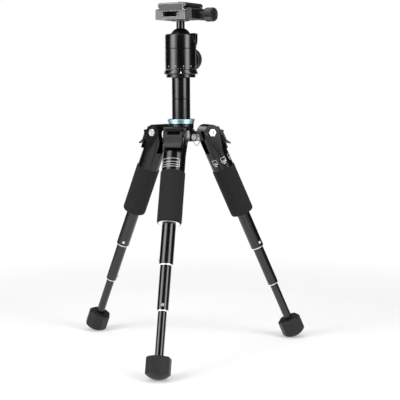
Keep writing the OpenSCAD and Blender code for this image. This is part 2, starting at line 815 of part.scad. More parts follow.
module leg_casting(i) {
    color("#161618") down_leg(i) difference() {
        union() {
            casting_shape();
            latch_bed();
        }
        block([-casting_r - overrun, -fork_half, -arm_end_r - overrun],
              [pad_out - pad_t, fork_half, slot_floor]);
        bar_y(arm_end_r + fork_gap, 2 * fork_half);
        bar_y(bolt_r + running, 2 * casting_r + 2 * overrun);
        block([0, -pawl_w / 2 - move_gap, latch_pin_down + window_up],
              [pad_out + overrun, pawl_w / 2 + move_gap, latch_pin_down + window_down]);
        block([pad_out - pad_t - overrun, -slot_w / 2, slot_top],
              [pad_out + overrun, slot_w / 2, latch_pin_down + slot_drop]);
        translate([0, 0, top_tube_start])
            cylinder(r = top_tube_d / 2 + seated, h = casting_len - top_tube_start + overrun);
        translate([latch_pin_out, 0, latch_pin_down]) bar_y(latch_pin_r + running, 2 * casting_r);
    }
}

module leg_latch(i) {
    top = latch_pin_down;
    inner = latch_out - latch_t;
    foot = top + latch_len;
    pawl_s = top + window_up + move_gap + edge;
    pawl_in = arm_end_r * cos(pawl_at) + pawl_gap;
    color("#2a2a2c") down_leg(i) {
        difference() {
            union() {
                translate([latch_pin_out, 0, top]) bar_y(latch_t / 2, latch_w, 32);
                translate([latch_pin_out, 0, top]) bar_y(latch_pin_r, 2 * (lug_in + lug_w) - 2 * running);
                profile_y([
                    [inner, top], [latch_out, top], [latch_out, foot], [lip_out, lip_down - lip_t / 2],
                    [lip_out - lip_t / 2, lip_down], [inner + lip_t / 2, foot + lip_t + edge], [inner, foot]
                ], latch_w);
            }
            block([inner - overrun, -slot_w / 2, top - latch_t],
                  [latch_out + overrun, slot_w / 2, top + slot_drop]);
        }
        block([pawl_in, -pawl_w / 2, pawl_s], [inner + edge, pawl_w / 2, pawl_s + notch_w]);
        for (k = [1 : latch_ribs])
            translate([latch_out, 0, foot - (latch_len - slot_drop) * k / (latch_ribs + 1)])
            block([-edge, -latch_w / 2 + edge, 0], [edge / 2, latch_w / 2 - edge, edge]);
    }
}

module top_tube(i) {
    color("#1b1b1d") down_leg(i)
        tube(top_tube_d / 2, top_tube_d / 2 - top_tube_wall, top_tube_start + seated,
             foam_end - collar_flange_h - seated);
}

foam_roll_share = 0.8;
steps = 8;
module foam_grip(i) {
    r_in = top_tube_d / 2 + running;
    r_out = foam_d / 2;
    roll = (r_out - r_in) * foam_roll_share;
    color("#262628") down_leg(i) rotate_extrude() polygon(concat(
        [[r_in, casting_len + running], [r_out - edge, casting_len + running], [r_out, casting_len + edge]],
        [for (k = [0 : steps]) let (a = 90 * k / steps)
            [r_out - roll + roll * cos(a), foam_end - foam_round + foam_round * sin(a)]],
        [[r_in, foam_end]]
    ));
}

module grip_collar(i) {
    bore = upper_d / 2 + running;
    plug = top_tube_d / 2 - top_tube_wall - seated;
    color("#d8d8da") down_leg(i) rotate_extrude() polygon([
        [bore, collar_start], [plug, collar_start], [plug, foam_end - collar_flange_h],
        [top_tube_d / 2, foam_end - collar_flange_h], [top_tube_d / 2, foam_end - edge / 2],
        [top_tube_d / 2 - edge / 2, foam_end], [bore, foam_end]
    ]);
}

// A hole through the wall on one side of a tube
module button_hole(s, turn) {
    translate([0, 0, s]) rotate([0, 0, -turn]) bar_x(button_r + running, 0, upper_d);
}

module upper_tube(i) {
    r = upper_d / 2;
    flange_r = top_tube_d / 2 - top_tube_wall - running;
    color("#1d1d20") down_leg(i) difference() {
        union() {
            tube(r, r - tube_wall, upper_start, upper_end);
            tube(flange_r, r - tube_wall, upper_start, upper_start + flange_h);
        }
        button_hole(upper_end - button_up, button_turns[i]);
    }
}

module middle_tube(i) {
    r = middle_d / 2;
    color("#1d1d20") down_leg(i) difference() {
        tube(r, r - tube_wall, middle_start, middle_end);
        button_hole(upper_end - button_up, button_turns[i]);
        button_hole(middle_end - button_up, button_turns[i] + button_step);
    }
}

module lower_tube(i) {
    r = lower_d / 2;
    color("#1d1d20") down_leg(i) difference() {
        tube(r, r - lower_wall, lower_start, foot_top + foot_bore - seated);
        button_hole(middle_end - button_up, button_turns[i] + button_step);
    }
}

// The button sits in the wall of the outer tube, and never reaches past that wall.
module push_button(i, tube_r, s, turn) {
    color("silver") down_leg(i) translate([0, 0, s]) rotate([0, 0, -turn])
        translate([tube_r - tube_wall + button_travel + running, 0, 0]) rotate([0, 90, 0])
            rotate_extrude() polygon(concat(
                [[0, 0], [button_r, 0]],
                arc(button_r - edge, tube_wall - button_travel + button_h - edge, edge, 0, 90, 4),
                [[0, tube_wall - button_travel + button_h]]
            ));
}

module upper_button(i) {
    push_button(i, upper_d / 2, upper_end - button_up, button_turns[i]);
}

module middle_button(i) {
    push_button(i, middle_d / 2, middle_end - button_up, button_turns[i] + button_step);
}

// A hairpin strip whose peg stands in the inner tube's hole
module spring_clip(i, bore_r, wall, s, turn) {
    side = sqrt(pow(bore_r, 2) - pow(clip_w / 2, 2)) - running;
    bend = side - clip_t;
    peg_r = button_r - 2 * running;
    peg_out = sqrt(pow(bore_r + wall, 2) - pow(peg_r, 2)) - running;
    color("#b8b8bc") down_leg(i) translate([0, 0, s]) rotate([0, 0, -turn]) {
        for (x = [-side, side - clip_t])
            block([x, -clip_w / 2, -clip_len / 2], [x + clip_t, clip_w / 2, peg_r + edge]);
        translate([0, 0, -clip_len / 2]) rotate([90, 0, 0]) difference() {
            cylinder(r = side, h = clip_w, center = true);
            cylinder(r = bend, h = clip_w + overrun, center = true);
            translate([-side - overrun, 0, -clip_w]) cube([2 * side + 2 * overrun, side + overrun, 2 * clip_w]);
        }
        bar_x(peg_r, side - clip_t, peg_out - side + clip_t);
    }
}

module upper_clip(i) {
    spring_clip(i, middle_d / 2 - tube_wall, tube_wall, upper_end - button_up, button_turns[i]);
}

module middle_clip(i) {
    spring_clip(i, lower_d / 2 - lower_wall, lower_wall, middle_end - button_up, button_turns[i] + button_step);
}

module foot(i) {
    foot_h = foot_tip - foot_top;
    top_r = foot_r - foot_chamfer;
    color("#1e1e1f") down_leg(i) difference() {
        intersection() {
            translate([0, 0, foot_top]) rotate([0, 0, 180 / foot_sides])
                cylinder(r = foot_r, h = foot_h, $fn = foot_sides);
            translate([0, 0, foot_top]) cylinder(r1 = top_r, r2 = top_r + foot_h, h = foot_h);
            translate([0, 0, sole_s]) rotate([90, 0, 0]) sphere(r = sole_r);
        }
        translate([0, 0, foot_top - overrun]) cylinder(r = lower_d / 2 + seated, h = foot_bore + overrun);
    }
}

hub();
pivot_bolts();
pivot_nuts();
ring_eye();
strap_ring();
lock_collar();
accent_ring();
column_tube();
pan_base();
head_body();
slot_liner();
lock_knob();
ball_seat();
ball_stem();
clamp_body();
clamp_jaw();
clamp_knob();
release_plate();
plate_pad();
camera_screw();
screw_bail();
for (i = [0 : 2]) {
    leg_casting(i);
    leg_latch(i);
    top_tube(i);
    foam_grip(i);
    grip_collar(i);
    upper_tube(i);
    upper_button(i);
    upper_clip(i);
    middle_tube(i);
    middle_button(i);
    middle_clip(i);
    lower_tube(i);
    foot(i);
}
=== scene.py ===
import json
import math

import bpy
from mathutils import Euler, Matrix, Vector


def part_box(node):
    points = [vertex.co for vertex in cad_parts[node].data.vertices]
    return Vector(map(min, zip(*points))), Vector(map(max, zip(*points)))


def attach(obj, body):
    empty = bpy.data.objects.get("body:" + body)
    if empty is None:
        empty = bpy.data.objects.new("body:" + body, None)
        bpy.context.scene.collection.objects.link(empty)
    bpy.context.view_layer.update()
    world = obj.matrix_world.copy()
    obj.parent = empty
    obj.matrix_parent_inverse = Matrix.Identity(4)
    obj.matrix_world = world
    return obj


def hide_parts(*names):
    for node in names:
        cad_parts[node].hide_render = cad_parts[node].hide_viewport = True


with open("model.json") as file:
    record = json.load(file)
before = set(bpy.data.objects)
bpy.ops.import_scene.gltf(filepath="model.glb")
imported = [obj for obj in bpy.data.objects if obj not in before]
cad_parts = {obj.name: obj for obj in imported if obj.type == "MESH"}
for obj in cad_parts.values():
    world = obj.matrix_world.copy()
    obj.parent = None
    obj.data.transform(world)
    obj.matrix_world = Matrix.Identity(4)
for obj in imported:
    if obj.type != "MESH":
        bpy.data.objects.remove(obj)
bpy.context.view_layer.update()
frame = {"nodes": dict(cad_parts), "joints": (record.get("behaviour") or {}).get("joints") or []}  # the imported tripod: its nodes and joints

nodes = frame["nodes"]
joints = {joint["name"]: joint for joint in frame["joints"]}
legs = ("front", "right", "left")
mm = 0.001  # pieces are modelled in millimetres and set in place in metres


# Places, each with its own axes, taken from the joints

def axisOf(jointName):
    return Vector(joints[jointName]["axis"]).normalized()


def pointOf(jointName):
    return Vector(joints[jointName]["pos_m"])


def placeOf(origin, xAxis, yAxis, zAxis):
    return Matrix.Translation(origin) @ Matrix((xAxis, yAxis, zAxis)).transposed().to_4x4()


def aimedAt(origin, direction):  # Z along the direction
    return Matrix.Translation(origin) @ direction.to_track_quat("Z", "Y").to_matrix().to_4x4()


def legPlaceOf(leg):  # at the leg's pivot, X outward and Z down the leg
    turnAxis = axisOf("leg_spread_" + leg)
    downLeg = axisOf("upper_slide_" + leg)
    return placeOf(pointOf("leg_spread_" + leg), turnAxis.cross(downLeg), turnAxis, downLeg)


upward = Vector((0, 0, 1))
columnPlace = Matrix.Translation((0, pointOf("pan_turn").y, 0))
clampPlace = placeOf(columnPlace.translation, axisOf("jaw_slide"), axisOf("plate_slide"), upward)
clampKnobPlace = aimedAt(pointOf("clamp_knob_turn"), axisOf("clamp_knob_turn"))
lockKnobPlace = aimedAt(pointOf("lock_knob_turn"), axisOf("lock_knob_turn"))
legPlaces = {leg: legPlaceOf(leg) for leg in legs}


def intoPlace(place):  # from metres in the frame to millimetres in that place
    return Matrix.Scale(1 / mm, 4) @ place.inverted()


def spanOf(nodeName, place):  # lowest and highest corners of a node in that place
    inverse = intoPlace(place)
    points = [inverse @ vertex.co for vertex in nodes[nodeName].data.vertices]
    low = Vector([min(point[axis] for point in points) for axis in range(3)])
    high = Vector([max(point[axis] for point in points) for axis in range(3)])
    return low, high


# Modelling steps

limits = {
    "merge": 0.001,       # how near two points of a new piece count as one
    "shellMerge": 0.002,  # the same for a copy of a node
    "flat": 0.4,          # degrees between faces that count as one
    "spin": 0.07,         # radians between the rows of a spun bar
    "past": 1,            # how far a cutter reaches past its piece
    "edge": 35,           # degrees from which an edge is rounded
    "near": 0.1,          # how close to a surface its own faces lie
    "facing": 0.9,        # from here a normal counts as along its axis
}


def only(piece):
    bpy.ops.object.select_all(action="DESELECT")
    piece.select_set(True)
    bpy.context.view_layer.objects.active = piece


def named(name):
    piece = bpy.context.object
    piece.name = piece.data.name = name
    return piece


def show(thing):
    bpy.context.scene.collection.objects.link(thing)
    return thing


def editAll(piece):
    only(piece)
    bpy.ops.object.mode_set(mode="EDIT")
    bpy.ops.mesh.select_mode(type="VERT")
    bpy.ops.mesh.select_all(action="SELECT")


def editFaces(piece, wanted):  # edit mode with the faces selected that pass the test
    only(piece)
    bpy.ops.object.mode_set(mode="EDIT")
    bpy.ops.mesh.select_mode(type="FACE")
    bpy.ops.mesh.select_all(action="DESELECT")
    bpy.ops.object.mode_set(mode="OBJECT")
    for polygon in piece.data.polygons:
        polygon.select = wanted(polygon.center, polygon.normal)
    bpy.ops.object.mode_set(mode="EDIT")


def editDone():
    bpy.ops.object.mode_set(mode="OBJECT")


def addModifier(piece, kind, **values):
    only(piece)
    modifier = piece.modifiers.new(kind.title(), kind)
    for key, value in values.items():
        setattr(modifier, key, value)
    bpy.ops.object.modifier_apply(modifier=modifier.name)
    return piece


# the bevel faces can take their own material number, which the castings and grey clamp pieces use for a
# painted edge highlight
def roundEdges(piece, width, segments=2, angle=limits["edge"], edgeHighlightMaterial=-1):
    return addModifier(piece, "BEVEL", width=width, segments=segments, limit_method="ANGLE",
                       angle_limit=math.radians(angle), material=edgeHighlightMaterial)


def cutAway(piece, cutter, operation="DIFFERENCE"):
    addModifier(piece, "BOOLEAN", object=cutter, operation=operation, solver="EXACT")
    bpy.data.objects.remove(cutter)
    return piece


def closeUp(piece):  # merges seams, caps open rings and turns every face outwards
    editAll(piece)
    bpy.ops.mesh.remove_doubles(threshold=limits["merge"])
    bpy.ops.mesh.fill_holes(sides=0)
    bpy.ops.mesh.select_all(action="SELECT")
    bpy.ops.mesh.normals_make_consistent(inside=False)
    editDone()
    return piece


def arc(radius, height, across, up, turnFrom, turnTo, count):  # degrees from outward
    turns = [math.radians(turnFrom + (turnTo - turnFrom) * number / count)
             for number in range(count + 1)]
    return [(radius + across * math.cos(turn), height + up * math.sin(turn)) for turn in turns]


def turned(name, profile, sides=72):  # a circle pulled along [radius, height] points
    bpy.ops.object.select_all(action="DESELECT")
    radius, height = profile[0]
    bpy.ops.mesh.primitive_circle_add(vertices=sides, radius=radius, location=(0, 0, height))
    piece = named(name)
    bpy.ops.object.mode_set(mode="EDIT")
    for nextRadius, nextHeight in profile[1:]:
        bpy.ops.mesh.extrude_region_move(
            TRANSFORM_OT_translate={"value": (0, 0, nextHeight - height)})
        share = nextRadius / radius
        bpy.ops.transform.resize(value=(share, share, 1), center_override=(0, 0, nextHeight))
        radius, height = nextRadius, nextHeight
    editDone()
    only(piece)
    applyPlace()
    return closeUp(piece)


def outlined(name, outline, y=0.0):  # a flat face through [x, z] points
    bpy.ops.object.select_all(action="DESELECT")
    bpy.ops.mesh.primitive_circle_add(vertices=len(outline), radius=1, fill_type="NGON")
    piece = named(name)
    for vertex, (x, z) in zip(piece.data.vertices, outline):
        vertex.co = (x, y, z)
    return piece


def drawnOut(name, outline, depth):  # that face drawn out along Y about the middle
    piece = outlined(name, outline, -depth / 2)
    editAll(piece)
    bpy.ops.mesh.extrude_region_move(TRANSFORM_OT_translate={"value": (0, depth, 0)})
    editDone()
    return closeUp(piece)


def spunBar(name, inner, outer, low, high, turnFrom, turnTo):  # part of a ring, degrees from +X
    piece = outlined(name, [(inner, low), (outer, low), (outer, high), (inner, high)])
    sweep = math.radians(turnTo - turnFrom)
    editAll(piece)
    bpy.ops.mesh.spin(steps=max(1, round(sweep / limits["spin"])), angle=-sweep,
                      center=(0, 0, 0), axis=(0, 0, 1))
    editDone()
    closeUp(piece)
    angles = [math.atan2(vertex.co.y, vertex.co.x) for vertex in piece.data.vertices]
    middle = (min(angles) + max(angles)) / 2
    wanted = math.radians(turnFrom + turnTo) / 2
    return moved(piece, Matrix.Rotation(wanted - middle, 4, "Z"))


def coiled(name, outline, shape):  # a closed outline wound round Z and capped
    piece = outlined(name, outline)
    editAll(piece)
    bpy.ops.mesh.delete(type="ONLY_FACE")
    editDone()
    addModifier(piece, "SCREW", axis="Z", angle=2 * math.pi, screw_offset=shape["pitch"],
                iterations=shape["turns"], steps=shape["steps"], render_steps=shape["steps"],
                use_merge_vertices=True, merge_threshold=limits["merge"])
    return closeUp(piece)


def applyPlace():
    bpy.ops.object.transform_apply(location=True, rotation=True, scale=True)


def moved(piece, matrix):  # the place goes into the mesh
    piece.data.transform(matrix)
    return piece


def paint(piece, index):
    for polygon in piece.data.polygons:
        polygon.material_index = index
    return piece


def setMaterials(piece, materials):  # the faces keep their material numbers
    kept = [polygon.material_index for polygon in piece.data.polygons]
    piece.data.materials.clear()
    for material in materials:
        piece.data.materials.append(material)
    for polygon, index in zip(piece.data.polygons, kept):
        polygon.material_index = min(index, len(materials) - 1)


holders = [bpy.data.materials.new("holder" + str(number)) for number in range(3)]  # removed at the end


def copyOf(piece, name):
    copy = piece.copy()
    copy.data = piece.data.copy()
    copy.name = copy.data.name = name
    return show(copy)


def shellCopy(nodeName, name, place):  # a merged copy of a node that keeps its exact shape
    mesh = nodes[nodeName].data.copy()
    mesh.transform(intoPlace(place))
    mesh.name = name
    piece = show(bpy.data.objects.new(name, mesh))
    setMaterials(piece, holders)  # room for the material of the bevels
    paint(piece, 0)
    only(piece)
    bpy.ops.mesh.customdata_custom_splitnormals_clear()
    editAll(piece)
    bpy.ops.mesh.remove_doubles(threshold=limits["shellMerge"])
    bpy.ops.mesh.dissolve_limited(angle_limit=math.radians(limits["flat"]))
    editDone()
    return piece


def joined(name, pieces):  # each part keeps its own material numbers
    for piece in pieces:
        setMaterials(piece, holders)
    only(pieces[0])
    for piece in pieces[1:]:
        piece.select_set(True)
    bpy.ops.object.join()
    return named(name)


def finished(piece, body, materials, place, nodeName, smooth=32):
    piece.matrix_world = place @ Matrix.Scale(mm, 4)
    only(piece)
    applyPlace()
    bpy.ops.object.shade_smooth_by_angle(angle=math.radians(smooth))
    addModifier(piece, "WEIGHTED_NORMAL", keep_sharp=True)  # large faces stay flat up to their bevels
    setMaterials(piece, materials)
    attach(piece, body)
    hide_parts(nodeName)


def makeShell(nodeName, name, body, materials, place, width, segments=2, edgeHighlightMaterial=-1):
    shell = shellCopy(nodeName, name, place)
    roundEdges(shell, width, segments, limits["edge"], edgeHighlightMaterial)
    finished(shell, body, materials, place, nodeName, limits["edge"])


def dress(nodeName, material):  # a node that keeps its own mesh gets a better finish
    mesh = nodes[nodeName].data
    mesh.materials.clear()
    mesh.materials.append(material)


# Shader groups that the finishes share

def feed(tree, socket, value):  # a value, or another node's output
    if isinstance(value, bpy.types.NodeSocket):
        tree.links.new(value, socket)
    else:
        socket.default_value = value


def addNode(tree, kind, inputs=None, **settings):
    node = tree.nodes.new("ShaderNode" + kind)
    for key, value in settings.items():
        setattr(node, key, value)
    for label, value in (inputs or {}).items():
        feed(tree, node.inputs[label], value)
    return node.outputs


def addNoise(tree, vector, scale, detail, roughness, distortion=0.0):
    return addNode(tree, "TexNoise", {"Vector": vector, "Scale": scale, "Detail": detail,
                                      "Roughness": roughness, "Distortion": distortion})["Fac"]


def addMath(tree, operation, first, second):
    return addNode(tree, "Math", {0: first, 1: second}, operation=operation)[0]


def addBlend(tree, first, firstShare, second, secondShare):
    return addMath(tree, "ADD", addMath(tree, "MULTIPLY", first, firstShare),
                   addMath(tree, "MULTIPLY", second, secondShare))


def addRange(tree, value, low, high, newLow=0.0, newHigh=1.0):
    return addNode(tree, "MapRange", {"Value": value, "From Min": low, "From Max": high,
                                      "To Min": newLow, "To Max": newHigh})["Result"]


def newGroup(name, inputs):
    group = bpy.data.node_groups.new(name, "ShaderNodeTree")
    group.interface.new_socket(name="Vector", in_out="INPUT", socket_type="NodeSocketVector")
    for label, value in inputs.items():
        socket = group.interface.new_socket(name=label, in_out="INPUT", socket_type="NodeSocketFloat")
        socket.default_value = value
    return group, group.nodes.new("NodeGroupInput").outputs


def putOut(group, **values):
    end = group.nodes.new("NodeGroupOutput")
    for key, value in values.items():
        group.interface.new_socket(name=key.title(), in_out="OUTPUT", socket_type="NodeSocketFloat")
        group.links.new(value, end.inputs[key.title()])
    return group


def newMaterial(name):
    material = bpy.data.materials.new(name)
    material.use_nodes = True
    tree = material.node_tree
    return material, tree, tree.nodes["Principled BSDF"].inputs


def setShader(tree, shader, values):
    for label, value in values.items():
        feed(tree, shader[label], value)


def makeMetalGroup():  # turned or drawn lines, fine speckle and faint handling marks
    group, given = newGroup("metalSurface", {"Line Count": 900.0, "Line Share": 0.5,
                                             "Speckle Scale": 2500.0})
    place, lineShare = given["Vector"], given["Line Share"]
    drawn = addNode(group, "VectorMath", {0: place, 1: (0.02, 0.02, 1)}, operation="MULTIPLY")[0]
    lines = addNoise(group, drawn, given["Line Count"], detail=4, roughness=0.7)
    speckle = addNoise(group, place, given["Speckle Scale"], detail=2, roughness=0.6)
    handled = addNoise(group, place, scale=55, detail=4, roughness=0.62, distortion=0.6)
    marks = addRange(group, handled, low=0.35, high=0.7)
    speckleShare = addMath(group, "SUBTRACT", 1.0, lineShare)
    return putOut(group, tone=marks, grain=addBlend(group, marks, 0.6, speckle, 0.4),
                  height=addBlend(group, lines, lineShare, speckle, speckleShare))


def makeMouldedGroup():  # the fine pebble of a casting, a moulding or rubber, with some dust
    group, given = newGroup("mouldedSurface", {"Pebble Scale": 1200.0, "Dust Share": 0.3})
    place = given["Vector"]
    pebble = addNoise(group, place, given["Pebble Scale"], detail=3, roughness=0.55)
    cloud = addNoise(group, place, scale=70, detail=3, roughness=0.5, distortion=0.3)
    broad = addRange(group, cloud, low=0.3, high=0.72)
    specks = addNoise(group, place, scale=1900, detail=1, roughness=0.4)
    dust = addMath(group, "MULTIPLY", addRange(group, specks, low=0.66, high=0.74), given["Dust Share"])
    return putOut(group, tone=addMath(group, "MAXIMUM", addMath(group, "MULTIPLY", broad, 0.6), dust),
                  grain=addBlend(group, broad, 0.5, pebble, 0.5), height=pebble)


def makeFoamGroup():  # closed cells with an uneven skin
    group, given = newGroup("foamSurface", {"Cell Scale": 1500.0})
    place = given["Vector"]
    cells = addNode(group, "TexVoronoi", {"Vector": place, "Scale": given["Cell Scale"]},
                    feature="SMOOTH_F1")
    pits = addRange(group, cells["Distance"], low=0.1, high=0.75)
    cloud = addNoise(group, place, scale=160, detail=4, roughness=0.6)
    broad = addRange(group, cloud, low=0.3, high=0.7)
    fine = addNoise(group, place, scale=3800, detail=2, roughness=0.6)
    return putOut(group, tone=addBlend(group, broad, 0.45, pits, 0.55), grain=broad,
                  height=addBlend(group, pits, 0.7, fine, 0.3))


surfaceGroups = {"metal": makeMetalGroup(), "moulded": makeMouldedGroup(), "foam": makeFoamGroup()}
print("places and shared surfaces ready")


# Camera

cameraView = {
    "lens": 95.25,      # millimetres
    "sensor": 36,
    "distance": 1.278,  # metres from the column's axis
    "azimuth": 10.59,   # degrees round the column, from the front leg
    "height": 0.3263,
    "pitchDown": 6.424,
    "yaw": 0.991,
    "roll": -0.313,
    "clipEnd": 50,
}


def spotAt(turn, distance, height):  # a spot round the column, its turn counted from the camera
    angle = math.radians(cameraView["azimuth"] + turn)
    spot = columnPlace.translation + distance * Vector((math.sin(angle), -math.cos(angle), 0))
    spot.z = height
    return spot


def makeCamera():
    camera = show(bpy.data.objects.new("camera", bpy.data.cameras.new("camera")))
    camera.data.lens = cameraView["lens"]
    camera.data.sensor_width = cameraView["sensor"]
    camera.data.clip_end = cameraView["clipEnd"]
    aim = Euler((math.radians(90 - cameraView["pitchDown"]), 0,
                 math.radians(cameraView["azimuth"]) - math.radians(cameraView["yaw"]))).to_matrix()
    aim = aim @ Matrix.Rotation(math.radians(cameraView["roll"]), 3, "Z")
    spot = spotAt(0, cameraView["distance"], cameraView["height"])
    camera.matrix_world = Matrix.Translation(spot) @ aim.to_4x4()
    bpy.context.scene.camera = camera


makeCamera()


# Studio: a white surround, a pale floor and soft boxes

studio = {
    "surround": 0.02,            # what the pieces see of the room
    "floorRadius": 6,
    "floorSides": 96,
    "floorRoughness": 0.8,
    "floorColor": (0.5, 0.02),   # near the feet and far away
    "floorGlow": (0.3, 1.0),     # what the camera sees
    "floorBounce": (0.8, 0.05),  # what the pieces see
    "floorReach": (0.42, 0.75),  # where near turns into far, for the colour and the glow
    "bounceReach": (1.6, 2.6),   # the same for the bounce
}

softBoxes = [
    # name, turn from the camera, distance, width, height, middle height, radiance
    ("leftBox", -56, 1.15, 1.1, 1.4, 0.95, 3.2),
    ("leftCore", -57, 1.1, 0.46, 1.4, 0.95, 5.2),
    ("rightBox", 50, 1.15, 0.76, 1.4, 0.95, 3.3),
    ("rightCore", 49, 1.1, 0.42, 1.4, 0.95, 5.2),
    ("leftRearBox", -152, 1.6, 0.45, 1.4, 0.8, 2.0),
    ("rightRearBox", 150, 1.6, 0.5, 1.4, 0.8, 0.6),
]
overhead = {
    "height": 1.7, "size": 1.6, "radiance": 2.6,
    "tilt": 0.001,  # fixes which way its sides run
}


def makeSurround():
    world = bpy.data.worlds.new("studio")
    bpy.context.scene.world = world
    world.use_nodes = True
    tree = world.node_tree
    tree.nodes.clear()
    white = (1, 1, 1, 1)
    seen = addNode(tree, "Background", {"Color": white, "Strength": 1.0})[0]
    room = addNode(tree, "Background", {"Color": white, "Strength": studio["surround"]})[0]
    inView = addNode(tree, "LightPath")["Is Camera Ray"]
    mix = addNode(tree, "MixShader", {"Fac": inView, 1: room, 2: seen})[0]
    addNode(tree, "OutputWorld", {"Surface": mix})


def makeSoftBox(name, spot, backward, width, height, radiance):
    light = bpy.data.lights.new(name, "AREA")
    light.shape = "RECTANGLE"
    light.size, light.size_y = width, height
    light.energy = radiance * math.pi * width * height
    lamp = show(bpy.data.objects.new(name, light))
    lamp.matrix_world = aimedAt(spot, backward)
    lamp.visible_camera = False


def makeLights():
    for name, turn, distance, width, height, up, radiance in softBoxes:
        spot = spotAt(turn, distance, up)
        makeSoftBox(name, spot, spot - spotAt(0, 0, up), width, height, radiance)
    top, size = spotAt(0, 0, overhead["height"]), overhead["size"]
    backward = upward - Vector((0, overhead["tilt"], 0))
    makeSoftBox("topBox", top, backward, size, size, overhead["radiance"])


def makeFloor():
    bpy.ops.object.select_all(action="DESELECT")
    bpy.ops.mesh.primitive_circle_add(vertices=studio["floorSides"], radius=studio["floorRadius"],
                                      fill_type="NGON")
    floor = named("floor")
    material, tree, shader = newMaterial("paleFloor")
    spot = addNode(tree, "TexCoord")["Object"]
    distance = addNode(tree, "VectorMath", {0: spot}, operation="LENGTH")["Value"]
    color, seen, bounce = [addRange(tree, distance, *studio[reach], *studio[key])
                           for reach, key in (("floorReach", "floorColor"), ("floorReach", "floorGlow"),
                                              ("bounceReach", "floorBounce"))]
    inView = addNode(tree, "LightPath")["Is Camera Ray"]
    setShader(tree, shader, {
        "Base Color": addNode(tree, "CombineColor", {0: color, 1: color, 2: color})["Color"],
        "Emission Color": (1, 1, 1, 1),
        "Emission Strength": addNode(tree, "Mix", {"Factor": inView, "A": bounce, "B": seen})["Result"],
        "Roughness": studio["floorRoughness"], "Specular IOR Level": 0.0})
    floor.data.materials.append(material)


makeSurround()
makeLights()
makeFloor()
bpy.context.scene.view_settings.view_transform = "Standard"  # plain whites
print("studio ready")


# Finishes: each look has two colours that its pattern mixes, and a bump in millimetres

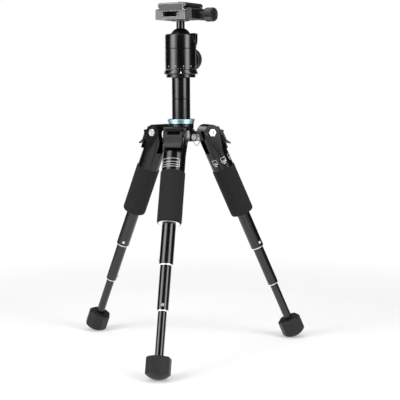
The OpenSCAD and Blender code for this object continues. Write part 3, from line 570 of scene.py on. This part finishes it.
looks = {
    "glossBlack": dict(
        surface="metal", color=(0.0009, 0.0009, 0.001), toneColor=(0.0018, 0.0018, 0.002),
        roughness=(0.18, 0.26), bump=0.004, lineShare=0.7, lineCount=1400),
    "satinBlack": dict(
        surface="moulded", color=(0.0013, 0.0013, 0.0014), toneColor=(0.003, 0.003, 0.0031),
        roughness=(0.16, 0.26), bump=0.01, specular=0.34, pebbleScale=1500, dustShare=0.2),
    # painted shade: a groove's inner faces are darker and duller than the black around them, so the
    # groove reads as a shaded line
    "paintedGrooveShade": dict(
        surface="moulded", color=(0.0004, 0.0004, 0.0004), toneColor=(0.001, 0.001, 0.001),
        roughness=(0.6, 0.75), bump=0.01, specular=0.1, dustShare=0.1),
    # painted highlight: the castings' bevels are coloured light grey metal so their edges look lit
    "castingEdgeHighlight": dict(
        surface="metal", color=(0.24, 0.24, 0.245), toneColor=(0.34, 0.34, 0.345),
        roughness=(0.24, 0.34), bump=0.004, metallic=0.6, lineShare=0.3),
    "ballBlack": dict(
        surface="moulded", color=(0.0006, 0.0006, 0.0007), toneColor=(0.0014, 0.0014, 0.0015),
        roughness=(0.3, 0.42), bump=0.006, specular=0.2, pebbleScale=1800, dustShare=0.1),
    "clampGrey": dict(
        surface="metal", color=(0.062, 0.062, 0.064), toneColor=(0.088, 0.088, 0.09),
        roughness=(0.36, 0.48), bump=0.012, metallic=0.85, lineShare=0.1, speckleScale=2200),
    "jawGrey": dict(
        surface="metal", color=(0.014, 0.014, 0.0146), toneColor=(0.023, 0.023, 0.0236),
        roughness=(0.34, 0.46), bump=0.012, metallic=0.85, lineShare=0.1, speckleScale=2200),
    "plateGrey": dict(
        surface="metal", color=(0.03, 0.03, 0.0314), toneColor=(0.046, 0.046, 0.0474),
        roughness=(0.38, 0.5), bump=0.012, metallic=0.8, lineShare=0.1, speckleScale=2200),
    # painted highlight: the bevels of the grey clamp pieces are coloured lighter so their edges look lit
    "greyEdgeHighlight": dict(
        surface="metal", color=(0.3, 0.3, 0.306), toneColor=(0.4, 0.4, 0.406),
        roughness=(0.28, 0.38), bump=0.004, metallic=1.0, lineShare=0.2),
    "latchGrey": dict(
        surface="moulded", color=(0.012, 0.012, 0.0124), toneColor=(0.02, 0.02, 0.0206),
        roughness=(0.4, 0.52), bump=0.014, specular=0.3, pebbleScale=2200, dustShare=0.2),
    "foamBlack": dict(
        surface="foam", color=(0.0068, 0.0068, 0.0072), toneColor=(0.0178, 0.0178, 0.0184),
        roughness=(0.8, 0.95), bump=0.12, specular=0.15, cellScale=1500),
    "footRubber": dict(
        surface="moulded", color=(0.003, 0.003, 0.0032), toneColor=(0.0075, 0.0075, 0.0078),
        roughness=(0.48, 0.64), bump=0.05, specular=0.32, pebbleScale=1300, dustShare=0.6),
    "gripRubber": dict(
        surface="moulded", color=(0.0022, 0.0022, 0.0023), toneColor=(0.005, 0.005, 0.0052),
        roughness=(0.4, 0.55), bump=0.03, specular=0.35, pebbleScale=2400, dustShare=0.4),
    "knurledBlack": dict(
        surface="moulded", color=(0.003, 0.003, 0.0031), toneColor=(0.011, 0.011, 0.0113),
        roughness=(0.3, 0.42), bump=0.03, pebbleScale=1600, dustShare=0.5),
    "tealAnodised": dict(
        surface="metal", color=(0.38, 0.6, 0.65), toneColor=(0.44, 0.66, 0.71),
        roughness=(0.36, 0.46), bump=0.004, metallic=1.0, lineShare=0.8),
    "bareAluminium": dict(
        surface="metal", color=(0.82, 0.82, 0.83), toneColor=(0.9, 0.9, 0.91),
        roughness=(0.26, 0.4), bump=0.006, metallic=0.75, lineShare=0.8),
    "brightSteel": dict(
        surface="metal", color=(0.68, 0.675, 0.66), toneColor=(0.48, 0.475, 0.465),
        roughness=(0.3, 0.44), bump=0.005, metallic=0.85, lineShare=0.4),
    "springSteel": dict(
        surface="metal", color=(0.16, 0.16, 0.165), toneColor=(0.11, 0.11, 0.115),
        roughness=(0.3, 0.42), bump=0.004, metallic=1.0, lineShare=0.6),
    "screwSteel": dict(
        surface="metal", color=(0.5, 0.495, 0.48), toneColor=(0.4, 0.395, 0.385),
        roughness=(0.26, 0.4), bump=0.005, metallic=1.0, lineShare=0.5),
    "seatPlastic": dict(
        surface="moulded", color=(0.7, 0.68, 0.62), toneColor=(0.78, 0.76, 0.7),
        roughness=(0.35, 0.5), bump=0.01, dustShare=0.1),
    "markWhite": dict(
        surface="moulded", color=(0.8, 0.8, 0.78), toneColor=(0.9, 0.9, 0.88),
        roughness=(0.4, 0.6), bump=0.004, dustShare=0.1),
    "markGrey": dict(
        surface="moulded", color=(0.22, 0.22, 0.22), toneColor=(0.32, 0.32, 0.32),
        roughness=(0.4, 0.6), bump=0.004, dustShare=0.1),
    "labelSilver": dict(
        surface="metal", color=(0.46, 0.45, 0.42), toneColor=(0.6, 0.59, 0.56),
        roughness=(0.3, 0.5), bump=0.003, metallic=0.2, lineShare=0.3),
}
patternInputs = {"lineShare": "Line Share", "lineCount": "Line Count", "speckleScale": "Speckle Scale",
                 "pebbleScale": "Pebble Scale", "dustShare": "Dust Share", "cellScale": "Cell Scale"}
patternPlaces = {"": columnPlace, "clamp": clampKnobPlace, "lock": lockKnobPlace, **legPlaces}
finishes = {}


def makeFinish(name, look, place):
    material, tree, shader = newMaterial(name)
    spot = addNode(tree, "Mapping", {
        "Vector": addNode(tree, "TexCoord")["Object"], "Location": place.translation,
        "Rotation": place.to_euler()}, vector_type="TEXTURE")["Vector"]
    pattern = {label: look[key] for key, label in patternInputs.items() if key in look}
    surface = addNode(tree, "Group", {"Vector": spot, **pattern},
                      node_tree=surfaceGroups[look["surface"]])
    color = addNode(tree, "Mix", {"Factor": surface["Tone"], "A": (*look["color"], 1),
                                  "B": (*look["toneColor"], 1)}, data_type="RGBA")["Result"]
    bump = addNode(tree, "Bump", {"Height": surface["Height"], "Strength": 1.0,
                                  "Distance": look["bump"] * mm})["Normal"]
    setShader(tree, shader, {
        "Base Color": color, "Normal": bump,
        "Roughness": addRange(tree, surface["Grain"], 0.0, 1.0, *look["roughness"]),
        "Metallic": look.get("metallic", 0.0), "Specular IOR Level": look.get("specular", 0.5)})
    return material


def finish(lookName, where=""):  # made once for each place that its pattern is centred on
    name = lookName + where.title()
    if name not in finishes:
        finishes[name] = makeFinish(name, looks[lookName], patternPlaces[where])
    return finishes[name]


# Tubes of the legs, the upper and middle ones with a bare turned band at the lower end

tubeShape = {
    "band": 1.1,           # length of the bare band
    "bandIn": 0.35,        # how far the band is turned down
    "lip": 0.25,           # bevel of the upper end
    "wall": {"top": 1.2, "upper": 1.45, "middle": 1.45, "lower": 1.2},
    "upperRadius": 8.0,
    "flangeLength": 3.4,   # the upper tube's wide end, which runs inside the grip
    "holeRadius": 1.8,
    "holeSides": 32,
    "buttons": {"top": (), "upper": ("upper_button_",), "middle": ("upper_button_", "middle_button_"),
                "lower": ("middle_button_",)},
}


def makeTube(leg, part, body, bare):
    place = legPlaces[leg]
    nodeName = part + "_tube_" + leg
    low, high = spanOf(nodeName, place)
    widest = min(high.x, high.y)
    radius = tubeShape["upperRadius"] if part == "upper" else widest
    bore = radius - tubeShape["wall"][part]
    lip, band, bandIn, holeRadius = [tubeShape[key] for key in ("lip", "band", "bandIn", "holeRadius")]
    profile = [(bore, low.z), (widest - lip, low.z), (widest, low.z + lip)]
    if part == "upper":
        flangeEnd = low.z + tubeShape["flangeLength"]
        profile += [(widest, flangeEnd - lip), (widest - lip, flangeEnd), (radius, flangeEnd)]
    if bare:
        profile += [(radius, high.z - band), (radius - bandIn, high.z - band + bandIn / 2),
                    (radius - bandIn, high.z - lip), (radius - bandIn - lip, high.z)]
    else:
        profile += [(radius, high.z - lip), (radius - lip, high.z)]
    profile += [(bore, high.z), (bore, low.z)]
    tube = turned(part + "Tube" + leg.title(), profile)
    for button in tubeShape["buttons"][part]:
        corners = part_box(button + leg)
        hole = aimedAt((corners[0] + corners[1]) / 2, axisOf(button + "press_" + leg))
        cutter = turned("cutter", [(holeRadius, -radius / 2), (holeRadius, radius / 2)],
                        tubeShape["holeSides"])
        cutAway(tube, moved(cutter, intoPlace(place) @ hole @ Matrix.Scale(mm, 4)))
    if bare:
        for polygon in tube.data.polygons:
            inBand = polygon.center.z > high.z - band
            outside = polygon.center.xy.length > bore + lip / 2
            polygon.material_index = 1 if inBand and outside else 0
    materials = [finish("glossBlack", leg), finish("bareAluminium", leg)]
    finished(tube, body + leg, materials, place, nodeName)


for leg in legs:
    makeTube(leg, "top", "leg_", False)
    makeTube(leg, "upper", "upper_section_", True)
    makeTube(leg, "middle", "middle_section_", True)
    makeTube(leg, "lower", "lower_section_", False)
    for section in ("upper", "middle"):
        dress(section + "_button_" + leg, finish("brightSteel", leg))
        dress(section + "_clip_" + leg, finish("springSteel", leg))
print("tubes ready")


# Foam grips

foamShape = {"edge": 0.9, "edgeSteps": 3, "roll": 1.6, "rollLength": 3.2, "rollFrom": 15, "rollSteps": 5,
             "rings": 26, "sides": 64, "ripple": 0.22, "rippleSize": 9.0, "rippleDepth": 2,
             "boreGap": 0.05, "skin": 0.5, "smooth": 60}


def makeFoam(leg):
    shape, place = foamShape, legPlaces[leg]
    low, high = spanOf("foam_grip_" + leg, place)
    outer = min(high.x, high.y) - shape["ripple"] / 2
    inner = spanOf("top_tube_" + leg, place)[1].y + shape["boreGap"]
    edge, roll, rollLength, rings = shape["edge"], shape["roll"], shape["rollLength"], shape["rings"]
    straight = (high.z - rollLength) - (low.z + edge)
    profile = [(inner, low.z)]
    profile += arc(outer - edge, low.z + edge, edge, edge, -90, 0, shape["edgeSteps"])
    profile += [(outer, low.z + edge + straight * ring / rings) for ring in range(1, rings + 1)]
    profile += arc(outer - roll, high.z - rollLength, roll, rollLength, shape["rollFrom"], 90,
                   shape["rollSteps"])
    profile += [(inner, high.z), (inner, low.z)]
    foam = turned("foamGrip" + leg.title(), profile, shape["sides"])
    swell = bpy.data.textures.new("foamSwell" + leg.title(), "CLOUDS")
    swell.noise_scale = shape["rippleSize"]
    swell.noise_depth = shape["rippleDepth"]
    skin = [vertex.index for vertex in foam.data.vertices
            if vertex.co.xy.length > outer - shape["skin"]]
    foam.vertex_groups.new(name="skin").add(skin, 1, "REPLACE")
    addModifier(foam, "DISPLACE", texture=swell, strength=shape["ripple"], mid_level=0.5,
                vertex_group="skin", texture_coords="LOCAL")
    addModifier(foam, "SUBSURF", levels=1, render_levels=1)
    finished(foam, "leg_" + leg, [finish("foamBlack", leg)], place, "foam_grip_" + leg,
             shape["smooth"])


# Bare ring that closes the lower end of a grip

gripCollarShape = {"gap": 0.05, "plugIn": 1.22, "flangeLength": 1.2, "lip": 0.3, "step": 0.35,
                   "stepWidth": 1.2, "round": 0.08, "roundFrom": 30}


def makeGripCollar(leg):
    shape, place = gripCollarShape, legPlaces[leg]
    low, high = spanOf("grip_collar_" + leg, place)
    lip, step = shape["lip"], shape["step"]
    bore = tubeShape["upperRadius"] + shape["gap"]
    flange = min(high.x, high.y)
    plug, foot = flange - shape["plugIn"], high.z - shape["flangeLength"]
    ledge = bore + shape["stepWidth"]
    collar = turned("gripCollar" + leg.title(), [
        (bore, low.z), (plug, low.z), (plug, foot), (flange, foot), (flange, high.z - lip),
        (flange - lip, high.z), (ledge + step, high.z), (ledge, high.z - step), (bore, high.z - step),
        (bore, low.z)])
    roundEdges(collar, shape["round"], angle=shape["roundFrom"])
    finished(collar, "leg_" + leg, [finish("bareAluminium", leg)], place,
             "grip_collar_" + leg)


# Octagonal rubber feet with a rounded sole

footShape = {"sides": 8, "soleRadius": 20, "soleCentre": 5.3, "soleSides": 64, "soleRings": 48,
             "chamfer": 1.6, "round": 0.9, "roundSteps": 3, "roundFrom": 28, "recessGap": 1.3,
             "recessDepth": 2.4, "boreGap": 0.02, "boreDepth": 13, "boreSides": 48, "smooth": 40}


def makeFoot(leg):
    shape, place = footShape, legPlaces[leg]
    low, high = spanOf("foot_" + leg, place)
    tubeRadius = spanOf("lower_tube_" + leg, place)[1].y
    halfSide = math.pi / shape["sides"]
    bpy.ops.object.select_all(action="DESELECT")
    bpy.ops.mesh.primitive_cylinder_add(vertices=shape["sides"], radius=high.y / math.cos(halfSide),
                                        depth=high.z - low.z, location=(0, 0, (low.z + high.z) / 2),
                                        rotation=(0, 0, halfSide))
    foot = named("foot" + leg.title())
    applyPlace()
    editFaces(foot, lambda centre, normal: normal.z < -limits["facing"])
    bpy.ops.mesh.bevel(offset=shape["chamfer"], segments=1, affect="EDGES")
    editDone()
    bpy.ops.object.select_all(action="DESELECT")
    bpy.ops.mesh.primitive_uv_sphere_add(segments=shape["soleSides"], ring_count=shape["soleRings"],
                                         radius=shape["soleRadius"],
                                         location=(0, 0, low.z + shape["soleCentre"]))
    sole = named("sole")
    applyPlace()
    cutAway(foot, sole, "INTERSECT")
    recess, bore = tubeRadius + shape["recessGap"], tubeRadius + shape["boreGap"]
    ledge = low.z + shape["recessDepth"]
    cutAway(foot, turned("cutter", [(recess, low.z - limits["past"]), (recess, ledge), (bore, ledge),
                                    (bore, low.z + shape["boreDepth"])], shape["boreSides"]))
    roundEdges(foot, shape["round"], shape["roundSteps"], shape["roundFrom"])
    finished(foot, "lower_section_" + leg, [finish("footRubber", leg)], place,
             "foot_" + leg, shape["smooth"])


for leg in legs:
    makeFoam(leg)
    makeGripCollar(leg)
    makeFoot(leg)
print("grips and feet ready")


# Castings with their label frames, and latches

castingShape = {"round": 0.6, "roundSteps": 3, "roundFrom": 38}
latchShape = {"round": 0.35}
# the labels run in millimetres down the leg and degrees from outward
labelShape = {"start": 34.4, "end": 44.4, "turnFrom": -42, "turnTo": 55, "line": 0.4,
              "dividers": (0.4, 0.7), "radius": 13.5, "sunk": 0.1, "proud": 0.06}
signShape = {"turns": (-7, 42, 91, 140), "start": 33, "box": 4.2, "half": 14, "line": 0.5, "bar": 1.1,
             "gap": 0.8}


def labelBar(low, high, turnFrom, turnTo):
    inner, outer = labelShape["radius"] - labelShape["sunk"], labelShape["radius"] + labelShape["proud"]
    return spunBar("labelBar", inner, outer, low, high, turnFrom, turnTo)


def boxBars(low, high, turnFrom, turnTo, line):  # an outlined box
    side = math.degrees(line / labelShape["radius"])
    return [labelBar(low, low + line, turnFrom, turnTo), labelBar(high - line, high, turnFrom, turnTo),
            labelBar(low + line, high - line, turnFrom, turnFrom + side),
            labelBar(low + line, high - line, turnTo - side, turnTo)]


def frameLabel():  # a bare frame with two dividing lines
    start, end, line = labelShape["start"], labelShape["end"], labelShape["line"]
    turnFrom, turnTo = labelShape["turnFrom"], labelShape["turnTo"]
    bars = boxBars(start, end, turnFrom, turnTo, line)
    for divider in labelShape["dividers"]:
        level = start + (end - start) * divider
        bars.append(labelBar(level, level + line, turnFrom, turnTo))
    return bars


def signLabel():  # plain signs: a small box over a thick and a short bar
    bars = []
    start, box, half, bar = signShape["start"], signShape["box"], signShape["half"], signShape["bar"]
    below = start + box + signShape["gap"]
    for turn in signShape["turns"]:
        bars += boxBars(start, start + box, turn - half, turn + half, signShape["line"])
        bars.append(labelBar(below, below + bar, turn - half, turn + half))
        bars.append(labelBar(below + 2 * bar, below + 3 * bar, turn - half / 2, turn + half / 2))
    return bars


labels = {"front": frameLabel, "right": signLabel}


def makeCasting(leg):
    shape, place = castingShape, legPlaces[leg]
    casting = shellCopy("leg_casting_" + leg, "castingShell", place)
    # the bevels take material 2, the painted edge highlight
    roundEdges(casting, shape["round"], shape["roundSteps"], shape["roundFrom"], edgeHighlightMaterial=2)
    bars = labels[leg]() if leg in labels else []
    casting = joined("legCasting" + leg.title(), [casting] + [paint(bar, 1) for bar in bars])
    materials = [finish(name, leg) for name in ("satinBlack", "labelSilver", "castingEdgeHighlight")]
    finished(casting, "leg_" + leg, materials, place, "leg_casting_" + leg,
             shape["roundFrom"])


for leg in legs:
    makeCasting(leg)
    makeShell("leg_latch_" + leg, "legLatch" + leg.title(), "latch_" + leg,
              [finish("latchGrey", leg)], legPlaces[leg], latchShape["round"])
print("castings and latches ready")


# Hub, bolts and rings

centreShells = {
    # node: piece, body, slot, look, rounding and its steps
    "hub": ("hubBody", "hub", "black_casting", "satinBlack", 0.5, 3),
    "pivot_bolts": ("pivotBolts", "hub", "bright_steel", "brightSteel", 0.25, 2),
    "pivot_nuts": ("pivotNuts", "hub", "bright_steel", "brightSteel", 0.25, 2),
    "ring_eye": ("ringEye", "hub", "bright_steel", "brightSteel", 0.2, 2),
    "lock_collar": ("lockCollar", "lock_collar", "black_anodised", "glossBlack", 0.2, 2),
    "accent_ring": ("accentRing", "lock_collar", "accent_anodised", "tealAnodised", 0.15, 2),
}

for nodeName, (name, body, slot, look, width, segments) in centreShells.items():
    makeShell(nodeName, name, body, [finish(look)], columnPlace, width, segments)


# Column with its groove line

grooveShape = {"width": 0.85, "depth": 0.6, "sides": 144}
columnShape = {"round": 0.12, "grooveDown": 25.35}


def cutGroove(piece, radius, middle, index):  # a fine groove round a turned part, its inner faces painted darker and duller as shade
    low, high = middle - grooveShape["width"] / 2, middle + grooveShape["width"] / 2
    floor, outside = radius - grooveShape["depth"], radius + limits["past"]
    cutAway(piece, turned("cutter", [(floor, low), (outside, low), (outside, high), (floor, high),
                                     (floor, low)], grooveShape["sides"]))
    # the groove's inner faces take the painted shade
    for polygon in piece.data.polygons:
        inGroove = floor - limits["near"] < polygon.center.xy.length < radius - limits["near"] / 2
        if low <= polygon.center.z <= high and inGroove:
            polygon.material_index = index


def makeColumn():
    low, high = spanOf("column_tube", columnPlace)
    tube = roundEdges(shellCopy("column_tube", "columnTube", columnPlace), columnShape["round"])
    cutGroove(tube, high.x, high.z - columnShape["grooveDown"], 1)
    finished(tube, "column", [finish("glossBlack"), finish("paintedGrooveShade")],
             columnPlace, "column_tube")


makeColumn()


# Split ring for a strap: flat wire in two turns

splitRingShape = {"wireWidth": 0.9, "wireHeight": 0.4, "corner": 0.12, "pitch": 0.42, "turns": 2,
                  "steps": 56, "smooth": 45}


def makeSplitRing():
    shape = splitRingShape
    low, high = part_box("strap_ring")
    middle = (low + high) / 2
    half, tall, corner = shape["wireWidth"] / 2, shape["wireHeight"] / 2, shape["corner"]
    radius = (high - middle).z / mm - half
    outline = [(radius + x, z) for x, z in (
        (half - corner, -tall), (half, -tall + corner), (half, tall - corner), (half - corner, tall),
        (-half + corner, tall), (-half, tall - corner), (-half, -tall + corner), (-half + corner, -tall))]
    ring = moved(coiled("strapRing", outline, shape), Matrix.Translation((0, 0, -shape["pitch"])))
    place = aimedAt(middle, axisOf("strap_ring_swing").cross(upward))
    finished(ring, "strap_ring", [finish("brightSteel")], place, "strap_ring",
             shape["smooth"])


makeSplitRing()


# Pan base with its index mark

panShape = {"round": 0.25, "height": 5.2, "straight": 1 / 3, "lowRadius": 20.25, "topRadius": 19,
            "sides": 144, "markTurn": -79.3, "markHalf": 1.0, "markLow": 0.6, "markHigh": 3.0,
            "proud": 0.05, "sunk": 0.15}


def makePanBase():
    shape = panShape
    top = pointOf("pan_turn").z / mm
    foot = top - shape["height"]
    corner = foot + shape["height"] * shape["straight"]
    outLow, outTop = shape["lowRadius"] + shape["proud"], shape["topRadius"] + shape["proud"]
    inLow, inTop = shape["lowRadius"] - shape["sunk"], shape["topRadius"] - shape["sunk"]
    skin = turned("mark", [(outLow, foot), (outLow, corner), (outTop, top), (inTop, top),
                           (inLow, corner), (inLow, foot), (outLow, foot)], shape["sides"])
    half, low, high = shape["markHalf"], foot + shape["markLow"], foot + shape["markHigh"]
    prism = drawnOut("prism", [(-half, low), (half, low), (0, high)], shape["lowRadius"])
    moved(prism, Matrix.Rotation(math.radians(shape["markTurn"] - 90), 4, "Z")
          @ Matrix.Translation((0, shape["lowRadius"], 0)))
    mark = paint(cutAway(skin, prism, "INTERSECT"), 1)
    base = roundEdges(shellCopy("pan_base", "panShell", columnPlace), shape["round"])
    finished(joined("panBase", [base, mark]), "column",
             [finish("glossBlack"), finish("markWhite")], columnPlace, "pan_base")


makePanBase()
print("hub and column ready")


# Head with its groove line, its ring of dots and its fine scale

headShape = {"round": 0.22, "radius": 18.75, "grooveUp": 24.85, "dots": 12, "dotRadius": 0.8,
             "dotSides": 20, "dotUp": 3.7, "dotTurn": -69.3, "ticks": 36, "tickLow": 0.5,
             "tickHigh": 1.6, "tickHalf": 0.4, "sunk": 0.08, "proud": 0.04}
linerShape = {"round": 0.3}


def makeHead():
    shape = headShape
    foot = pointOf("pan_turn").z / mm
    inner, outer = shape["radius"] - shape["sunk"], shape["radius"] + shape["proud"]
    dot = turned("dot", [(shape["dotRadius"], inner), (shape["dotRadius"], outer)], shape["dotSides"])
    moved(dot, Matrix.Translation((0, 0, foot + shape["dotUp"])) @ Matrix.Rotation(math.pi / 2, 4, "Y"))
    tick = spunBar("tick", inner, outer, foot + shape["tickLow"], foot + shape["tickHigh"],
                   -shape["tickHalf"], shape["tickHalf"])
    marks = []
    for mark, count in ((dot, shape["dots"]), (tick, shape["ticks"])):
        for number in range(count):
            turn = math.radians(shape["dotTurn"] + 360 * number / count)
            marks.append(moved(copyOf(mark, "mark"), Matrix.Rotation(turn, 4, "Z")))
        bpy.data.objects.remove(mark)
    shell = roundEdges(shellCopy("head_body", "headShell", columnPlace), shape["round"])
    cutGroove(shell, shape["radius"], foot + shape["grooveUp"], 2)
    head = joined("headBody", [shell] + [paint(mark, 1) for mark in marks])
    finished(head, "head",
             [finish("glossBlack"), finish("markGrey"), finish("paintedGrooveShade")], columnPlace, "head_body")


makeHead()
makeShell("slot_liner", "slotLiner", "head", [finish("satinBlack")], columnPlace,
          linerShape["round"])
dress("ball_seat", finish("seatPlastic"))


# Ball with its polished neck

stemShape = {"radius": 13, "neck": 5, "rows": 30, "sides": 80, "round": 0.4,
             "poleGap": 0.02}  # radians left open at the pole, and capped


def makeBallStem():
    shape = stemShape
    low, high = spanOf("ball_stem", columnPlace)
    radius, neck = shape["radius"], shape["neck"]
    profile = arc(0, low.z + radius, radius, radius, math.degrees(shape["poleGap"]) - 90,
                  math.degrees(math.acos(neck / radius)), shape["rows"])
    rootHeight = profile[-1][1]
    profile += [(neck, high.z - shape["round"]), (neck - shape["round"], high.z)]
    stem = turned("ballStem", profile, shape["sides"])
    for polygon in stem.data.polygons:
        polygon.material_index = 1 if polygon.center.z > rootHeight + limits["near"] else 0
    finished(stem, "ball", [finish("ballBlack"), finish("glossBlack")], columnPlace,
             "ball_stem")


makeBallStem()


# Lock knob: flange, groove and a fluted rim

lockKnobShape = {"screw": 3.5, "neck": 6.5, "neckStart": 19.05, "length": 12, "flange": 2.4,
                 "groove": 0.9, "grooveDepth": 0.9, "round": 0.5, "rimRound": 1.2, "rimShare": 0.3,
                 "dish": 0.8, "dishRadius": 9.6, "cap": 5, "sides": 144, "flutes": 36,
                 "fluteInset": 0.16, "fluteDepth": 0.45}


def makeLockKnob():
    shape = lockKnobShape
    low, high = spanOf("lock_knob", lockKnobPlace)
    rim, start, end = high.y, high.z - shape["length"], high.z
    screw, neck, neckStart, cap = shape["screw"], shape["neck"], shape["neckStart"], shape["cap"]
    small, large, share = shape["round"], shape["rimRound"], shape["rimRound"] * shape["rimShare"]
    dish, dishRadius, inGroove = shape["dish"], shape["dishRadius"], rim - shape["grooveDepth"]
    ledge = start + shape["flange"]
    fluteStart, fluteEnd = ledge + shape["groove"], end - large
    knob = turned("lockKnob", [
        (screw - small, low.z), (screw, low.z + small), (screw, neckStart), (neck, neckStart),
        (neck, start), (rim - small, start), (rim, start + small), (rim, ledge - small),
        (rim - small, ledge), (inGroove, ledge), (inGroove, fluteStart), (rim, fluteStart),
        (rim, fluteEnd), (rim - share, end - share), (rim - large, end), (dishRadius + dish, end),
        (dishRadius, end - dish), (cap + dish / 2, end - dish), (cap, end - dish / 2)], shape["sides"])
    period = 360 / shape["flutes"]

    def inFlute(centre, normal):
        turn = math.degrees(math.atan2(centre.y, centre.x)) % period
        onRim = centre.xy.length > rim - limits["near"] and fluteStart < centre.z < fluteEnd
        return onRim and turn < period / 2

    editFaces(knob, inFlute)
    bpy.ops.mesh.inset(thickness=shape["fluteInset"], depth=-shape["fluteDepth"])
    editDone()
    finished(knob, "lock_knob", [finish("gripRubber", "lock")], lockKnobPlace,
             "lock_knob")


makeLockKnob()
print("head ready")


# Clamp and jaw

clampShape = {"round": 0.35}


def greyPair(lookName):  # faces and their bevels, the bevels painted lighter as an edge highlight
    return [finish(lookName, "clamp"), finish("greyEdgeHighlight", "clamp")]


# both shells give their bevels material 1, the painted edge highlight
makeShell("clamp_body", "clampBody", "clamp", greyPair("clampGrey"), clampPlace,
          clampShape["round"], edgeHighlightMaterial=1)
makeShell("clamp_jaw", "clampJaw", "clamp_jaw", greyPair("jawGrey"), clampPlace,
          clampShape["round"], edgeHighlightMaterial=1)


# Clamp knob: a round knurled body on its screw

clampKnobShape = {"screw": 2.5, "screwRound": 0.3, "length": 12.9, "round": 2.4, "roundSteps": 3,
                  "sides": 28, "rows": 5, "point": 1.0, "relief": 1.05, "dish": 0.5, "dishRadius": 3.6,
                  "smooth": 24}


def makeClampKnob():
    shape = clampKnobShape
    low, high = spanOf("clamp_knob", clampKnobPlace)
    turn, screw, screwRound, rows = shape["round"], shape["screw"], shape["screwRound"], shape["rows"]
    radius, start, end = high.y - shape["relief"], high.z - shape["length"], high.z
    flat, rowHeight = radius - turn, (end - start - 2 * turn) / rows
    profile = [(screw - screwRound, low.z), (screw, low.z + screwRound), (screw, start)]
    profile += arc(flat, start + turn, turn, turn, -90, 0, shape["roundSteps"])
    profile += [(radius, start + turn + rowHeight * row) for row in range(1, rows)]
    profile += arc(flat, end - turn, turn, turn, 0, 90, shape["roundSteps"])
    profile += [(shape["dishRadius"], end), (shape["dishRadius"] - shape["dish"], end - shape["dish"])]
    knob = turned("clampKnob", profile, shape["sides"])
    editFaces(knob, lambda centre, normal: centre.xy.length > flat and abs(normal.z) < limits["facing"])
    bpy.ops.mesh.poke(offset=shape["point"])
    editDone()
    finished(knob, "clamp_knob", [finish("knurledBlack", "clamp")], clampKnobPlace,
             "clamp_knob", shape["smooth"])


makeClampKnob()


# Release plate with cut corners, ribbed pad and camera screw

plateShape = {"round": 0.45, "corner": 1.8, "gap": 0.05, "smooth": 35,
              "blockHeights": 4}  # the block that cuts the corners, in heights of the plate
padShape = {"pitch": 2.2, "depth": 0.35, "land": 0.7, "round": 0.1, "roundFrom": 50, "holeGap": 0.3,
            "holeSides": 40, "smooth": 30}
screwShape = {"shank": 2.45, "round": 0.12, "thread": 3.175, "threadLength": 2.4, "root": 2.62,
              "half": 0.5, "outside": 0.3, "pitch": 1.27, "turns": 3, "steps": 48}


def makePlate():
    low, high = spanOf("release_plate", clampPlace)
    plate = shellCopy("release_plate", "releasePlate", clampPlace)
    wide, long, cut = high.x + plateShape["gap"], high.y + plateShape["gap"], plateShape["corner"]
    outline = [(wide, -long + cut), (wide, long - cut), (wide - cut, long), (-wide + cut, long),
               (-wide, long - cut), (-wide, -long + cut), (-wide + cut, -long), (wide - cut, -long)]
    block = drawnOut("corners", outline, plateShape["blockHeights"] * (high.z - low.z))
    moved(block, Matrix.Translation((0, 0, high.z)) @ Matrix.Rotation(math.pi / 2, 4, "X"))
    cutAway(plate, block, "INTERSECT")
    # the bevels take material 1, the painted edge highlight
    roundEdges(plate, plateShape["round"], edgeHighlightMaterial=1)
    finished(plate, "plate", greyPair("plateGrey"), clampPlace, "release_plate",
             plateShape["smooth"])


def makePad():
    low, high = spanOf("plate_pad", clampPlace)
    ribs = round(2 * high.x / padShape["pitch"])
    pitch = (high.x - low.x) / ribs
    groove, land = high.z - padShape["depth"], padShape["land"] / 2
    outline = [(low.x, low.z), (high.x, low.z), (high.x, high.z)]
    for rib in range(ribs - 1, 0, -1):
        x = low.x + rib * pitch
        outline += [(x + land, high.z), (x + land / 2, groove),
                    (x - land / 2, groove), (x - land, high.z)]
    outline.append((low.x, high.z))
    pad = drawnOut("platePad", outline, high.y - low.y)
    hole, past = screwShape["shank"] + padShape["holeGap"], limits["past"]
    cutAway(pad, turned("cutter", [(hole, low.z - past), (hole, high.z + past)], padShape["holeSides"]))
    roundEdges(pad, padShape["round"], 1, padShape["roundFrom"])
    finished(pad, "plate", [finish("gripRubber", "clamp")], clampPlace, "plate_pad",
             padShape["smooth"])


def makeCameraScrew():
    shape = screwShape
    low, high = spanOf("camera_screw", clampPlace)
    screw = roundEdges(shellCopy("camera_screw", "cameraScrew", clampPlace), shape["round"])
    root, out, half = shape["root"], shape["thread"] + shape["outside"], shape["half"]
    groove = coiled("groove", [(root, 0), (out, -half), (out, half)], shape)
    cutAway(screw, moved(groove, Matrix.Translation((0, 0, high.z - shape["threadLength"]))))
    finished(screw, "camera_screw", [finish("screwSteel", "clamp")], clampPlace,
             "camera_screw")


makePlate()
makePad()
makeCameraScrew()
dress("screw_bail", finish("springSteel", "clamp"))
print("clamp and plate ready")

for holder in holders:
    bpy.data.materials.remove(holder)
